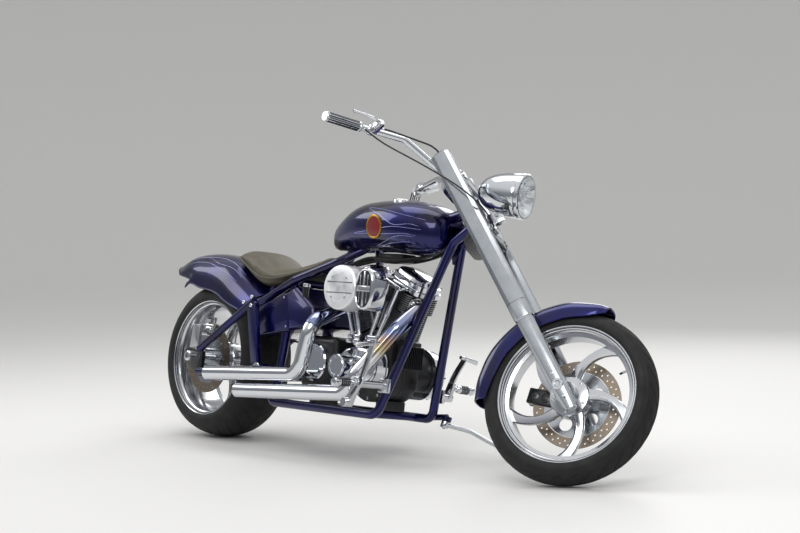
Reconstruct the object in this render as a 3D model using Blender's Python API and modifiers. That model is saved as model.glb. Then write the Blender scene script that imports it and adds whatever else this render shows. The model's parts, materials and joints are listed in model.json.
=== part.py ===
"""Chopper motorcycle, parked on its side stand with the bars turned to the left stop.

Metres, +Z up, +X forward, +Y to the rider's left. The chassis frame has its origin on the
ground line below the rear axle; an empty leans it over to the left, as it stands when parked.
"""

import math

import bmesh
import bpy
from mathutils import Matrix, Vector

# Stance and steering geometry
WHEELBASE = 2.003
RAKE = math.radians(38.7)
FORK_OFFSET = 0.050
STEER_LOCK = math.radians(29.5)
LEAN = math.radians(8.9)
GAP = 0.0003
RUN_GAP = 0.006
PAD_GAP = 0.003
ORIGIN_FROM_REAR_CONTACT = (0.955, 0.018)

# Wheels
REAR_TYRE_RADIUS = 0.322
REAR_TYRE_WIDTH = 0.244
REAR_LIP_RADIUS = 0.2435
REAR_RIM_WIDTH = 0.225
FRONT_TYRE_RADIUS = 0.3185
FRONT_TYRE_WIDTH = 0.130
FRONT_LIP_RADIUS = 0.2565
FRONT_RIM_WIDTH = 0.112
SIDEWALL_RISE = 0.013
LIP_THICKNESS = 0.006
BEAD_DEPTH = 0.016
RIM_WALL = 0.007
WHEEL_STEPS = 40
SPOKE_COUNT = 5
SPOKE_SWEEP = math.radians(34.0)
FRONT_DISC_RADIUS = 0.163
FRONT_DISC_Y = 0.0766
REAR_DISC_RADIUS = 0.146
REAR_DISC_Y = -0.142
DISC_THICKNESS = 0.005
AXLE_RADIUS = 0.011
HUB_RADIUS = 0.040
PULLEY_RADIUS = 0.115
PULLEY_Y = 0.148
BELT_WIDTH = 0.028
BELT_THICKNESS = 0.006

# Frame and swingarm
TUBE = 0.0175
RAIL_Y = 0.140
RAIL_Z = 0.175
SEAT_RAIL_Y = 0.125
UPRIGHT_Y = 0.108
RAIL_TAIL_Y = 0.108
NECK_RADIUS = 0.030
NECK_LOW = 0.745
NECK_HIGH = 0.955
STEM_RADIUS = 0.015
ARM_Y = 0.190
PIVOT_X = 0.457
PIVOT_Z = 0.300
AXLE_END_Y = 0.216

TIE_RADIUS = 0.015
ENGINE_TIE_X = 1.060
GEARBOX_TIE_X = 0.660
TANK_TUNNEL = 0.031
SEAT_LOW = (0.400, 0.636)
CROSS_TUBES = (
    # x, z, half-length: the last two carry the tank and the seat
    (ENGINE_TIE_X, RAIL_Z, RAIL_Y),
    (GEARBOX_TIE_X, RAIL_Z, RAIL_Y),
    (0.545, 0.655, SEAT_RAIL_Y),
    (0.706, 0.705, 0.113),
    (1.100, 0.868, TANK_TUNNEL - GAP),
    (SEAT_LOW[0], SEAT_LOW[1] - TIE_RADIUS - GAP, 0.112),
)

# Fork, measured along the steering axis from its foot beside the front axle
LEG_Y = 0.127
LEG_TOP = 1.075
LEG_FOOT = -0.100
LOWER_TREE = 0.705
UPPER_TREE = 0.965
TREE_THICKNESS = 0.035
BAR_RADIUS = 0.0127
GRIP_RADIUS = 0.0195

# Engine, with its crankshaft at this place in the chassis frame
CRANK_X = 1.010
CRANK_Z = 0.345
CYLINDER_ANGLE = math.radians(22.5)
CYLINDER_BASE = 0.150
CYLINDER_TOP = 0.262
HEAD_TOP = 0.345
ROCKER_TOP = 0.408
FIN_PITCH = 0.0240
VEE_GAP = 0.003
HEAD_FLAT = 0.0804
PIPE_RADIUS = 0.030
PIPE_WALL = 0.002

MATERIALS = {
    # slot: (colour, roughness, metallic)
    "blue_paint": ((0.012, 0.014, 0.110), 0.18, 0.35),
    "chrome": ((0.75, 0.76, 0.78), 0.10, 1.0),
    "polished_aluminium": ((0.72, 0.73, 0.74), 0.16, 1.0),
    "brushed_aluminium": ((0.60, 0.61, 0.62), 0.35, 1.0),
    "tyre_rubber": ((0.018, 0.018, 0.018), 0.75, 0.0),
    "black_paint": ((0.012, 0.012, 0.013), 0.35, 0.0),
    "black_engine": ((0.020, 0.020, 0.021), 0.50, 0.2),
    "brake_disc": ((0.42, 0.40, 0.37), 0.38, 1.0),
    "seat_leather": ((0.095, 0.082, 0.062), 0.55, 0.0),
    "lamp_glass": ((0.80, 0.82, 0.85), 0.05, 0.0),
    "tail_lens": ((0.35, 0.010, 0.010), 0.15, 0.0),
    "belt_rubber": ((0.020, 0.020, 0.020), 0.65, 0.0),
}


# Scene, materials and small helpers


def clear_scene():
    for obj in list(bpy.data.objects):
        bpy.data.objects.remove(obj)


def make_collection(name):
    collection = bpy.data.collections.new(name)
    bpy.context.scene.collection.children.link(collection)
    return collection


def make_material(name):
    colour, roughness, metallic = MATERIALS[name]
    material = bpy.data.materials.new(name)
    material.use_nodes = True
    shader = material.node_tree.nodes["Principled BSDF"]
    shader.inputs["Base Color"].default_value = (*colour, 1.0)
    shader.inputs["Roughness"].default_value = roughness
    shader.inputs["Metallic"].default_value = metallic
    material.diffuse_color = (*colour, 1.0)
    return material


def make_empty(name, parent=None, location=(0, 0, 0), rotation=(0, 0, 0)):
    empty = bpy.data.objects.new(name, None)
    PARTS.objects.link(empty)
    empty.parent = parent
    empty.location = location
    empty.rotation_euler = rotation
    return empty


def finish(obj, name, parent, material, smooth_angle=35.0):
    """Names a shape, hangs it on its parent empty and gives it its material and shading."""
    obj.name = name
    obj.data.name = name
    obj.parent = parent
    obj.data.materials.clear()
    obj.data.materials.append(SLOTS[material])
    obj.data.shade_smooth()
    obj.data.set_sharp_from_angle(angle=math.radians(smooth_angle))
    return obj


def from_bmesh(work):
    """Makes an object of a closed mesh whose faces are wound the same way round, and turns them out."""
    mesh = bpy.data.meshes.new("shape")
    if work.calc_volume(signed=True) < 0:
        bmesh.ops.reverse_faces(work, faces=work.faces)
    work.to_mesh(mesh)
    work.free()
    obj = bpy.data.objects.new("shape", mesh)
    PARTS.objects.link(obj)
    return obj


def baked(obj):
    """Replaces an object by the welded mesh that its curve or modifiers make."""
    bpy.context.view_layer.update()
    graph = bpy.context.evaluated_depsgraph_get()
    mesh = bpy.data.meshes.new_from_object(obj.evaluated_get(graph))
    work = bmesh.new()
    work.from_mesh(mesh)
    bmesh.ops.remove_doubles(work, verts=work.verts, dist=2e-6)
    bmesh.ops.dissolve_degenerate(work, edges=work.edges, dist=2e-6)
    bpy.data.meshes.remove(mesh)
    bpy.data.objects.remove(obj)
    return from_bmesh(work)


def combined(base, others, operation):
    """Joins, cuts or intersects a shape with others, one after another."""
    for other in others:
        modifier = base.modifiers.new(operation.lower(), "BOOLEAN")
        modifier.operation = operation
        modifier.object = other
        base = baked(base)
        bpy.data.objects.remove(other)
    return base


def fused(pieces):
    return combined(pieces[0], pieces[1:], "UNION")


def cut(base, cutters):
    return combined(base, cutters, "DIFFERENCE")


def turned_by(obj, matrix):
    obj.data.transform(matrix)
    return obj


def moved(obj, offset):
    return turned_by(obj, Matrix.Translation(offset))


# Basic forms


def box(size, centre, bevel=0.0, segments=2):
    work = bmesh.new()
    bmesh.ops.create_cube(work, size=1.0)
    bmesh.ops.scale(work, vec=size, verts=work.verts)
    if bevel:
        bmesh.ops.bevel(work, geom=work.edges, offset=bevel, segments=segments, affect="EDGES", profile=0.5)
    bmesh.ops.translate(work, vec=centre, verts=work.verts)
    return from_bmesh(work)


def rod(start, end, radius, end_radius=None, sides=16):
    start = Vector(start)
    along = Vector(end) - start
    work = bmesh.new()
    bmesh.ops.create_cone(
        work,
        cap_ends=True,
        segments=sides,
        radius1=radius,
        radius2=radius if end_radius is None else end_radius,
        depth=along.length,
    )
    turn = along.to_track_quat("Z", "Y").to_matrix().to_4x4()
    bmesh.ops.transform(work, matrix=Matrix.Translation(start + along / 2) @ turn, verts=work.verts)
    return from_bmesh(work)


def bore(start, end, radius, sides=16):
    """Cutter for a hole that a rod of this radius passes through with the seating gap."""
    return rod(start, end, (radius + GAP) / math.cos(math.pi / sides), sides=sides)


def turned(profile, steps, closed=True):
    """A profile of (radius, height) turned about local Z."""
    mesh = bpy.data.meshes.new("profile")
    count = len(profile)
    edges = [(i, (i + 1) % count) for i in range(count if closed else count - 1)]
    mesh.from_pydata([(r, 0, z) for r, z in profile], edges, [])
    obj = bpy.data.objects.new("profile", mesh)
    PARTS.objects.link(obj)
    screw = obj.modifiers.new("turn", "SCREW")
    screw.steps = steps
    screw.render_steps = steps
    screw.use_merge_vertices = True
    screw.merge_threshold = 1e-5
    return baked(obj)


def bent(points, radius, steps=3):
    """The points of a tube's centre line, with each corner turned on a bend radius."""
    corners = [Vector(point) for point in points]
    path = [corners[0]]
    for before, corner, after in zip(corners, corners[1:], corners[2:]):
        back = (before - corner).normalized()
        ahead = (after - corner).normalized()
        half = (math.pi - back.angle(ahead)) / 2
        reach = radius * math.tan(half)
        reach = min(reach, 0.49 * (before - corner).length, 0.49 * (after - corner).length)
        centre = corner + (back + ahead).normalized() * (reach / math.sin(half)) if half > 1e-3 else corner
        start = corner + back * reach
        stop = corner + ahead * reach
        for step in range(steps + 1):
            share = step / steps
            chord = start.lerp(stop, share) - centre
            path.append(centre + chord.normalized() * (start - centre).length)
    path.append(corners[-1])
    return path


def tube(points, radius, resolution=1):
    curve = bpy.data.curves.new("tube", "CURVE")
    curve.dimensions = "3D"
    curve.bevel_depth = radius
    curve.bevel_resolution = resolution
    curve.use_fill_caps = True
    spline = curve.splines.new("POLY")
    spline.points.add(len(points) - 1)
    for spot, point in zip(spline.points, points):
        spot.co = (*point, 1.0)
    obj = bpy.data.objects.new("tube", curve)
    PARTS.objects.link(obj)
    return baked(obj)


def plate(outline, thickness, centre=(0, 0, 0), turn=None):
    """A flat outline of (x, y) points, filled and made as thick as the plate, centred on local Z 0."""
    curve = bpy.data.curves.new("plate", "CURVE")
    curve.dimensions = "2D"
    curve.fill_mode = "BOTH"
    curve.extrude = thickness / 2
    spline = curve.splines.new("POLY")
    spline.points.add(len(outline) - 1)
    spline.use_cyclic_u = True
    for spot, (x, y) in zip(spline.points, outline):
        spot.co = (x, y, 0.0, 1.0)
    obj = bpy.data.objects.new("plate", curve)
    PARTS.objects.link(obj)
    obj = baked(obj)
    if turn is not None:
        turned_by(obj, turn)
    return moved(obj, centre)


def loft(rings):
    """A closed solid through rings with the same number of points, capped at both ends."""
    work = bmesh.new()
    made = [[work.verts.new(point) for point in ring] for ring in rings]
    count = len(made[0])
    for low, high in zip(made, made[1:]):
        for i in range(count):
            work.faces.new((low[i], low[(i + 1) % count], high[(i + 1) % count], high[i]))
    work.faces.new(list(reversed(made[0])))
    work.faces.new(made[-1])
    return from_bmesh(work)


def oval(half_a, half_b, power, count):
    """Points round a superellipse: power 2 is an ellipse, more is squarer."""
    points = []
    for i in range(count):
        angle = math.tau * (i + 0.5) / count
        a = math.copysign(abs(math.cos(angle)) ** (2 / power), math.cos(angle))
        b = math.copysign(abs(math.sin(angle)) ** (2 / power), math.sin(angle))
        points.append((half_a * a, half_b * b))
    return points


def arc(centre, radius, start, stop, steps):
    """Points on an arc in degrees, both ends included."""
    angles = [math.radians(start + (stop - start) * i / steps) for i in range(steps + 1)]
    return [(centre[0] + radius * math.cos(a), centre[1] + radius * math.sin(a)) for a in angles]


SIDE_TO_XZ = Matrix.Rotation(math.radians(90), 4, "X")


def side_plate(outline, thickness, y):
    """A plate whose outline is (x, z) of the chassis, standing at this y."""
    return plate(outline, thickness, (0, y, 0), SIDE_TO_XZ)


# Stance


def tyre_section(radius, width, lip_radius):
    """Centre radius, section height and half-width of a tyre's oval."""
    centre = lip_radius + SIDEWALL_RISE
    return centre, radius - centre, width / 2


def axle_height(radius, width, lip_radius, slope):
    """Height of an axle over the ground when the wheel's plane leans by this sine."""
    centre, rise, half = tyre_section(radius, width, lip_radius)
    upright = math.sqrt(1 - slope * slope)
    return centre * upright + math.hypot(rise * upright, half * slope)


def fork_foot():
    """The point on the steering axis beside the front axle, in the chassis frame."""
    axle = Vector((WHEELBASE, 0, FRONT_TYRE_RADIUS))
    return axle - FORK_OFFSET * Vector((math.cos(RAKE), 0, math.sin(RAKE)))


def steering_turn():
    return Matrix.Rotation(-RAKE, 4, "Y") @ Matrix.Rotation(STEER_LOCK, 4, "Z")


def stance():
    """The chassis' rotation and height that set both tyres on the ground."""
    turned_fork = Matrix.Translation(fork_foot()) @ steering_turn()
    front_axle = turned_fork @ Vector((FORK_OFFSET, 0, 0))
    wheel_axis = turned_fork.to_3x3() @ Vector((0, 1, 0))
    pitch = 0.0
    for _ in range(20):
        rotation = Matrix.Rotation(-LEAN, 4, "X") @ Matrix.Rotation(pitch, 4, "Y")
        rear_slope = (rotation.to_3x3() @ Vector((0, 1, 0))).z
        front_slope = (rotation.to_3x3() @ wheel_axis).z
        rear = axle_height(REAR_TYRE_RADIUS, REAR_TYRE_WIDTH, REAR_LIP_RADIUS, rear_slope)
        front = axle_height(FRONT_TYRE_RADIUS, FRONT_TYRE_WIDTH, FRONT_LIP_RADIUS, front_slope)
        height = rear - (rotation @ Vector((0, 0, REAR_TYRE_RADIUS))).z
        error = (rotation @ front_axle).z + height - front
        pitch += error / WHEELBASE
    return rotation, height


def ground_below(x, y):
    """Height of the ground in the leaning chassis' own frame."""
    rotation, height = stance()
    row = rotation.to_3x3().row[2]
    return -(height + row[0] * x + row[1] * y) / row[2]


# Wheels


def tyre(radius, width, lip_radius, rim_width):
    centre, rise, half = tyre_section(radius, width, lip_radius)
    bead = rim_width / 2 - LIP_THICKNESS - GAP
    seat = lip_radius - BEAD_DEPTH + GAP
    steps = 7
    reach = math.acos(-(SIDEWALL_RISE - 0.004) / rise)
    crown = []
    for i in range(steps + 1):
        angle = reach * (2 * i / steps - 1)
        crown.append((centre + rise * math.cos(angle), half * math.sin(angle)))
    foot = [(seat, bead), (seat, -bead)]
    return turned([(lip_radius + GAP, -bead), *crown, (lip_radius + GAP, bead), *foot], WHEEL_STEPS)


def rim_barrel(lip_radius, rim_width):
    half = rim_width / 2
    seat = lip_radius - BEAD_DEPTH
    inner = half - LIP_THICKNESS
    outer_side = [
        (lip_radius, half),
        (lip_radius, inner),
        (seat, inner),
    ]
    under_side = [
        (lip_radius - RIM_WALL, half),
        (seat - RIM_WALL, half - 0.012),
    ]
    top = outer_side + [(r, -y) for r, y in reversed(outer_side)]
    bottom = under_side + [(r, -y) for r, y in reversed(under_side)]
    return turned(top + list(reversed(bottom)), WHEEL_STEPS)


def spoke(reach, root_width, tip_width, thickness, turn, sweep):
    """One swept spoke in the wheel's plane, its edges bowed the same way."""
    steps = 5
    left = []
    right = []
    for i in range(steps + 1):
        share = i / steps
        radius = 0.050 + (reach - 0.050) * share
        angle = turn + sweep * share**1.5
        half = (root_width + (tip_width - root_width) * math.sin(share * math.pi / 2)) / 2
        if i == steps:
            half *= 1.5
        middle = Vector((math.cos(angle), math.sin(angle)))
        across = Vector((-middle.y, middle.x))
        left.append(tuple(middle * radius + across * half))
        right.append(tuple(middle * radius - across * half))
    return plate(right + list(reversed(left)), thickness)


def spoked_rim(lip_radius, rim_width, spoke_thickness, hub_half, sweep, first_turn):
    barrel = rim_barrel(lip_radius, rim_width)
    reach = lip_radius - BEAD_DEPTH - RIM_WALL / 2
    hub = turned(
        [
            (HUB_RADIUS, -hub_half),
            (HUB_RADIUS, hub_half),
            (AXLE_RADIUS + GAP, hub_half),
            (AXLE_RADIUS + GAP, -hub_half),
        ],
        20,
    )
    face = spoke_thickness / 2 + 0.004
    flange = turned([(0.068, -face), (0.068, face), (0.030, face), (0.030, -face)], 20)
    spokes = []
    for i in range(SPOKE_COUNT):
        turn = first_turn + math.tau * i / SPOKE_COUNT
        spokes.append(spoke(reach, 0.046, 0.036, spoke_thickness, turn, sweep))
    return fused([barrel, flange, hub, *spokes])


def disc(radius, inner_radius, y, holes):
    body = turned(
        [
            (radius, -DISC_THICKNESS / 2),
            (radius, DISC_THICKNESS / 2),
            (inner_radius, DISC_THICKNESS / 2),
            (inner_radius, -DISC_THICKNESS / 2),
        ],
        32,
    )
    cutters = []
    for i in range(holes):
        angle = math.tau * i / holes
        spot = Vector((math.cos(angle), math.sin(angle), 0)) * (radius + inner_radius) * 0.44
        cutters.append(rod(spot - Vector((0, 0, 0.02)), spot + Vector((0, 0, 0.02)), 0.012, sides=6))
    return moved(cut(body, cutters), (0, 0, y))


def build_front_wheel(hub):
    finish(
        tyre(FRONT_TYRE_RADIUS, FRONT_TYRE_WIDTH, FRONT_LIP_RADIUS, FRONT_RIM_WIDTH),
        "front_tyre",
        hub,
        "tyre_rubber",
    )
    rim = spoked_rim(FRONT_LIP_RADIUS, FRONT_RIM_WIDTH, 0.032, 0.073, SPOKE_SWEEP, 0.3)
    finish(rim, "front_rim", hub, "polished_aluminium")
    rotor = disc(FRONT_DISC_RADIUS, HUB_RADIUS + GAP, FRONT_DISC_Y - 0.0065, 10)
    finish(rotor, "front_disc", hub, "brake_disc")


def build_rear_wheel(hub):
    finish(
        tyre(REAR_TYRE_RADIUS, REAR_TYRE_WIDTH, REAR_LIP_RADIUS, REAR_RIM_WIDTH),
        "rear_tyre",
        hub,
        "tyre_rubber",
    )
    rim = spoked_rim(REAR_LIP_RADIUS, REAR_RIM_WIDTH, 0.040, 0.160, SPOKE_SWEEP, 0.9)
    finish(rim, "rear_rim", hub, "polished_aluminium")
    rotor = disc(REAR_DISC_RADIUS, HUB_RADIUS + GAP, REAR_DISC_Y, 10)
    finish(rotor, "rear_disc", hub, "brake_disc")
    half = BELT_WIDTH / 2 + 0.003
    pulley = turned(
        [
            (PULLEY_RADIUS + 0.004, half),
            (PULLEY_RADIUS + 0.004, half - 0.0025),
            (PULLEY_RADIUS, half - 0.0025),
            (PULLEY_RADIUS, -half),
            (PULLEY_RADIUS - 0.016, -half),
            (PULLEY_RADIUS - 0.016, 0.004),
            (HUB_RADIUS + GAP, 0.004),
            (HUB_RADIUS + GAP, half),
        ],
        36,
    )
    finish(moved(pulley, (0, 0, PULLEY_Y)), "rear_pulley", hub, "polished_aluminium")


# Frame, swingarm and rear axle


def neck_point(height):
    """A point of the steering axis, this far up from its foot."""
    return fork_foot() + height * Vector((-math.sin(RAKE), 0, math.cos(RAKE)))


def build_frame(chassis):
    neck = rod(neck_point(NECK_LOW), neck_point(NECK_HIGH), NECK_RADIUS, sides=20)
    backbone_top = neck_point(0.865)
    backbone = tube(
        bent([backbone_top, (1.02, 0, 0.868), (0.745, 0, 0.800), (0.700, 0, 0.690)], 0.10),
        0.021,
    )
    join = neck_point(0.800)
    loops = []
    for side in (-1, 1):
        y = side * RAIL_Y
        loops.append(
            tube(
                bent(
                    [
                        (join.x - 0.004, side * 0.014, join.z),
                        (1.360, side * 0.024, 0.842),
                        (1.155, y, RAIL_Z),
                        (0.490, y, RAIL_Z),
                        (0.490, side * UPRIGHT_Y, 0.245),
                        (0.545, side * UPRIGHT_Y, 0.655),
                    ],
                    0.050,
                ),
                TUBE,
            )
        )
        loops.append(
            tube(
                bent(
                    [
                        (0.905, 0, 0.836),
                        (0.800, side * 0.105, 0.747),
                        (0.566, side * SEAT_RAIL_Y, 0.667),
                        (0.345, side * RAIL_TAIL_Y, 0.573),
                        (0.256, side * RAIL_TAIL_Y, 0.559),
                    ],
                    0.09,
                ),
                TUBE,
            )
        )
    ties = []
    for x, z, y in CROSS_TUBES:
        ties.append(rod((x, -y, z), (x, y, z), TIE_RADIUS))
    pivot = Vector(STAND_PIVOT)
    low = STAND_COLLAR / 2 + GAP
    bracket = [
        tube([(1.060, RAIL_Y, RAIL_Z), pivot + STAND_AXIS * (low + 0.017)], 0.012),
        rod(pivot + STAND_AXIS * low, pivot + STAND_AXIS * (low + 0.020), 0.019),
        rod(pivot - STAND_AXIS * (low + 0.003), pivot + STAND_AXIS * (low + 0.004), STAND_PIN_RADIUS),
    ]
    frame = fused([neck, backbone, *loops, *ties, *bracket])
    hole = bore(neck_point(NECK_LOW - 0.02), neck_point(NECK_HIGH + 0.02), STEM_RADIUS)
    finish(cut(frame, [hole]), "frame", chassis, "blue_paint")


def build_swingarm(chassis):
    pieces = [rod((PIVOT_X, -ARM_Y, PIVOT_Z), (PIVOT_X, ARM_Y, PIVOT_Z), 0.022)]
    axle = (0.0, REAR_TYRE_RADIUS)
    for side in (-1, 1):
        y = side * ARM_Y
        pieces.append(tube([(PIVOT_X, y, PIVOT_Z), (0.052, y, axle[1] - 0.006)], 0.0165))
        pieces.append(tube([(0.392, y, 0.566), (0.052, y, axle[1] + 0.032)], 0.0165))
        pieces.append(tube([(PIVOT_X, y, PIVOT_Z), (0.380, y, 0.560)], 0.0145))
        outline = arc((-0.010, axle[1]), 0.036, 90, 270, 8) + [(0.075, axle[1] - 0.024), (0.075, axle[1] + 0.048)]
        pieces.append(side_plate(outline, 0.016, y))
    arm = fused(pieces)
    hole = bore((0, -0.3, axle[1]), (0, 0.3, axle[1]), AXLE_RADIUS)
    finish(cut(arm, [hole]), "swingarm", chassis, "blue_paint")


def build_rear_axle(chassis):
    z = REAR_TYRE_RADIUS
    shaft = rod((0, -AXLE_END_Y + 0.01, z), (0, AXLE_END_Y - 0.01, z), AXLE_RADIUS)
    caps = []
    for side in (-1, 1):
        caps.append(rod((0, side * (ARM_Y + 0.0085), z), (0, side * AXLE_END_Y, z), 0.022, sides=24))
    finish(fused([shaft, *caps]), "rear_axle", chassis, "chrome")


def belt_path(radius_front, radius_rear, front, rear, steps=16):
    """Outline of a belt round two pulleys, in the chassis' side plane."""
    span = Vector(front) - Vector(rear)
    lean = math.degrees(math.asin((radius_rear - radius_front) / span.length))
    base = math.degrees(math.atan2(span.y, span.x))
    nose = arc(front, radius_front, base - 90 + lean, base + 90 - lean, steps)
    tail = arc(rear, radius_rear, base + 90 - lean, base + 270 + lean, steps)
    return nose + tail


def build_belt(chassis):
    front = (GEARBOX_X - 0.015, CRANK_Z)
    rear = (0.0, REAR_TYRE_RADIUS)
    gap = 0.002
    outer = side_plate(
        belt_path(0.042 + BELT_THICKNESS, PULLEY_RADIUS + gap + BELT_THICKNESS, front, rear, 12),
        BELT_WIDTH,
        PULLEY_Y - 0.0005,
    )
    inner = side_plate(belt_path(0.042, PULLEY_RADIUS + gap, front, rear, 12), 0.1, PULLEY_Y)
    finish(cut(outer, [inner]), "drive_belt", chassis, "belt_rubber")


# Engine and gearbox


GEARBOX_X = 0.720


def build_cases(chassis):
    """Crankcase and gearbox as closed castings, without their insides."""
    centre = (CRANK_X, CRANK_Z)
    outline = arc(centre, 0.128, -150, -30, 8)
    for side in (1, -1):
        angle = side * CYLINDER_ANGLE
        up = Vector((math.sin(angle), math.cos(angle)))
        across = Vector((up.y, -up.x))
        spots = [up * (CYLINDER_BASE - GAP) + across * side * 0.064, up * (CYLINDER_BASE - GAP) - across * side * 0.030]
        if side < 0:
            spots.reverse()
        for spot in spots:
            outline.append((centre[0] + spot.x, centre[1] + spot.y))
    foot_top = CRANK_Z - 0.120
    foot_low = RAIL_Z + TIE_RADIUS + GAP
    body = side_plate(outline, 0.150, 0.005)
    foot = box((0.040, 0.120, foot_top - foot_low), (ENGINE_TIE_X, 0.005, (foot_top + foot_low) / 2))
    finish(fused([body, foot]), "crankcase", chassis, "black_engine")
    z = CRANK_Z + 0.005
    gearbox = box((0.210, 0.190, 0.210), (GEARBOX_X, -0.005, z), 0.025, 3)
    door = rod((GEARBOX_X, -0.100, z), (GEARBOX_X, -0.125, z), 0.075, sides=28)
    output = rod((GEARBOX_X - 0.015, 0.08, CRANK_Z), (GEARBOX_X - 0.015, PULLEY_Y + 0.016, CRANK_Z), 0.0415)
    foot_top = z - 0.095
    foot = box((0.040, 0.120, foot_top - foot_low), (GEARBOX_TIE_X, 0, (foot_top + foot_low) / 2))
    finish(fused([gearbox, door, output, foot]), "gearbox", chassis, "black_engine")


def build_covers(chassis):
    """Cam cover on the right, primary drive cover on the left."""
    face = -0.0703
    chest = loft(
        [
            [(CRANK_X - 0.010 + a, face - depth, CRANK_Z + 0.006 + b) for a, b in oval(0.115 - inset, 0.078 - inset, 2.8, 28)]
            for depth, inset in ((0, 0), (0.055, 0), (0.066, 0.010))
        ]
    )
    nose_x = 0.985
    nose = turned([(0.0, 0.105), (0.040, 0.105), (0.047, 0.098), (0.047, 0.0), (0.0, 0.0)], 32, closed=False)
    turned_by(nose, Matrix.Translation((nose_x, face - 0.05, CRANK_Z)) @ Matrix.Rotation(math.radians(90), 4, "X"))
    finish(fused([chest, nose]), "cam_cover", chassis, "chrome")
    front = (CRANK_X, CRANK_Z - 0.005)
    rear = (GEARBOX_X, CRANK_Z + 0.010)
    rings = []
    for y, inset in ((0.1803, 0.0), (0.230, 0.0), (0.243, 0.012), (0.246, 0.026)):
        ring = belt_path(0.100 - inset, 0.118 - inset, front, rear, 14)
        rings.append([(x, y, z) for x, z in ring])
    finish(loft(rings), "primary_cover", chassis, "chrome")
    spacer = rod((CRANK_X, 0.0803, CRANK_Z), (CRANK_X, 0.180, CRANK_Z), 0.075, sides=24)
    finish(spacer, "primary_spacer", chassis, "black_engine")


def cylinder_frame(side):
    """Engine frame of one cylinder: local Z up its bore, from the crankshaft."""
    return Matrix.Translation((CRANK_X, 0, CRANK_Z)) @ Matrix.Rotation(side * CYLINDER_ANGLE, 4, "Y")


def build_cylinder(chassis, side, name):
    rings = []
    height = CYLINDER_BASE
    count = int((HEAD_TOP - CYLINDER_BASE) / FIN_PITCH)
    for i in range(count):
        low = height + i * FIN_PITCH
        is_head = low > CYLINDER_TOP
        fin_x = 0.082 if is_head else 0.072
        fin_y = 0.088 if is_head else 0.074
        core = 0.052
        for z, x, y in (
            (low, core, core),
            (low + 0.010, core, core),
            (low + 0.013, fin_x, fin_y),
            (low + 0.020, fin_x, fin_y),
        ):
            rings.append([(a, b, z) for a, b in oval(x, y, 3.4, 12)])
    rings.append([(a, b, HEAD_TOP) for a, b in oval(0.052, 0.052, 3.4, 12)])
    body = loft(rings)
    turned_by(body, cylinder_frame(side))
    near = CRANK_X + side * VEE_GAP / 2
    far = CRANK_X + side * 0.4
    own_half = side_plate([(near, 0.47), (far, 0.3), (far, 1.0), (near, 1.0)], 0.4, 0)
    finish(combined(body, [own_half], "INTERSECT"), name, chassis, "black_engine")


def build_rocker_box(chassis, side, name):
    rings = []
    for z, x, y, shift in (
        (HEAD_TOP + GAP, 0.088, 0.068, 0),
        (HEAD_TOP + 0.018, 0.088, 0.068, 0),
        (HEAD_TOP + 0.022, 0.081, 0.062, 0),
        (HEAD_TOP + 0.040, 0.081, 0.062, 0),
        (HEAD_TOP + 0.043, 0.072, 0.056, 0),
        (ROCKER_TOP - 0.006, 0.070, 0.054, 0),
        (ROCKER_TOP, 0.058, 0.044, 0),
    ):
        rings.append([(b * 0.95 + shift, a, z) for a, b in oval(x, y, 4.5, 20)])
    box_body = turned_by(loft(rings), cylinder_frame(side))
    finish(box_body, name, chassis, "chrome")


def build_pushrods(chassis, side, name):
    """Two pushrod tubes on their lifter block, on the right of one cylinder."""
    tubes = []
    foot_x = CRANK_X + side * 0.052
    block = box((0.078, 0.036, 0.034), (foot_x, -0.112, CRANK_Z + 0.108), 0.004)
    for slot in (-1, 1):
        low = Vector((foot_x + slot * 0.020, -0.112, CRANK_Z + 0.120))
        high = cylinder_frame(side) @ Vector((slot * 0.030, -0.108, HEAD_TOP + 0.008))
        tubes.append(rod(low, high, 0.0105, sides=14))
    bridge = cylinder_frame(side) @ Vector((0, -0.0992, HEAD_TOP + 0.008))
    cap = box((0.098, 0.022, 0.020), (0, 0, 0), 0.004)
    turned_by(cap, Matrix.Translation(bridge) @ Matrix.Rotation(side * CYLINDER_ANGLE, 4, "Y"))
    finish(fused([block, *tubes, cap]), name, chassis, "chrome")


def build_intake(chassis):
    """Carburettor between the cylinders, with the round air cleaner outside it."""
    x = CRANK_X
    z = CRANK_Z + 0.295
    manifold = rod((x, -0.070, z), (x, -0.180, z), 0.026)
    bowl = box((0.060, 0.060, 0.060), (x, -0.135, z - 0.030), 0.008)
    branches = []
    for side in (1, -1):
        flange_x = -side * (HEAD_FLAT + GAP + 0.003)
        flange = box((0.006, 0.056, 0.056), (flange_x, 0, 0.300))
        web = box((0.010, 0.036, 0.030), (flange_x - side * 0.007, 0, 0.300))
        branches.append(turned_by(web, cylinder_frame(side)))
        branches.append(turned_by(flange, cylinder_frame(side)))
        end = cylinder_frame(side) @ Vector((flange_x - side * 0.007, 0, 0.300))
        branches.append(rod((x, 0, z + 0.028), end, 0.017))
    inlet = box((0.040, 0.100, 0.048), (x, -0.030, z + 0.022), 0.004)
    finish(fused([manifold, inlet, bowl, *branches]), "carburettor", chassis, "black_engine")
    cover = turned(
        [
            (0.0, 0.0),
            (0.090, 0.0),
            (0.090, 0.060),
            (0.085, 0.068),
            (0.066, 0.070),
            (0.064, 0.066),
            (0.058, 0.066),
            (0.056, 0.071),
            (0.0, 0.074),
        ],
        32,
        closed=False,
    )
    turned_by(cover, Matrix.Translation((x, -0.1803, z)) @ Matrix.Rotation(math.radians(90), 4, "X"))
    insert = loft(
        [
            [(x + 0.075 + a, -0.190 - depth, z + b) for a, b in oval(0.052 - inset, 0.080 - inset, 2.2, 28)]
            for depth, inset in ((0, 0), (0.050, 0), (0.058, 0.008))
        ]
    )
    finish(fused([cover, insert]), "air_cleaner", chassis, "chrome")


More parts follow.
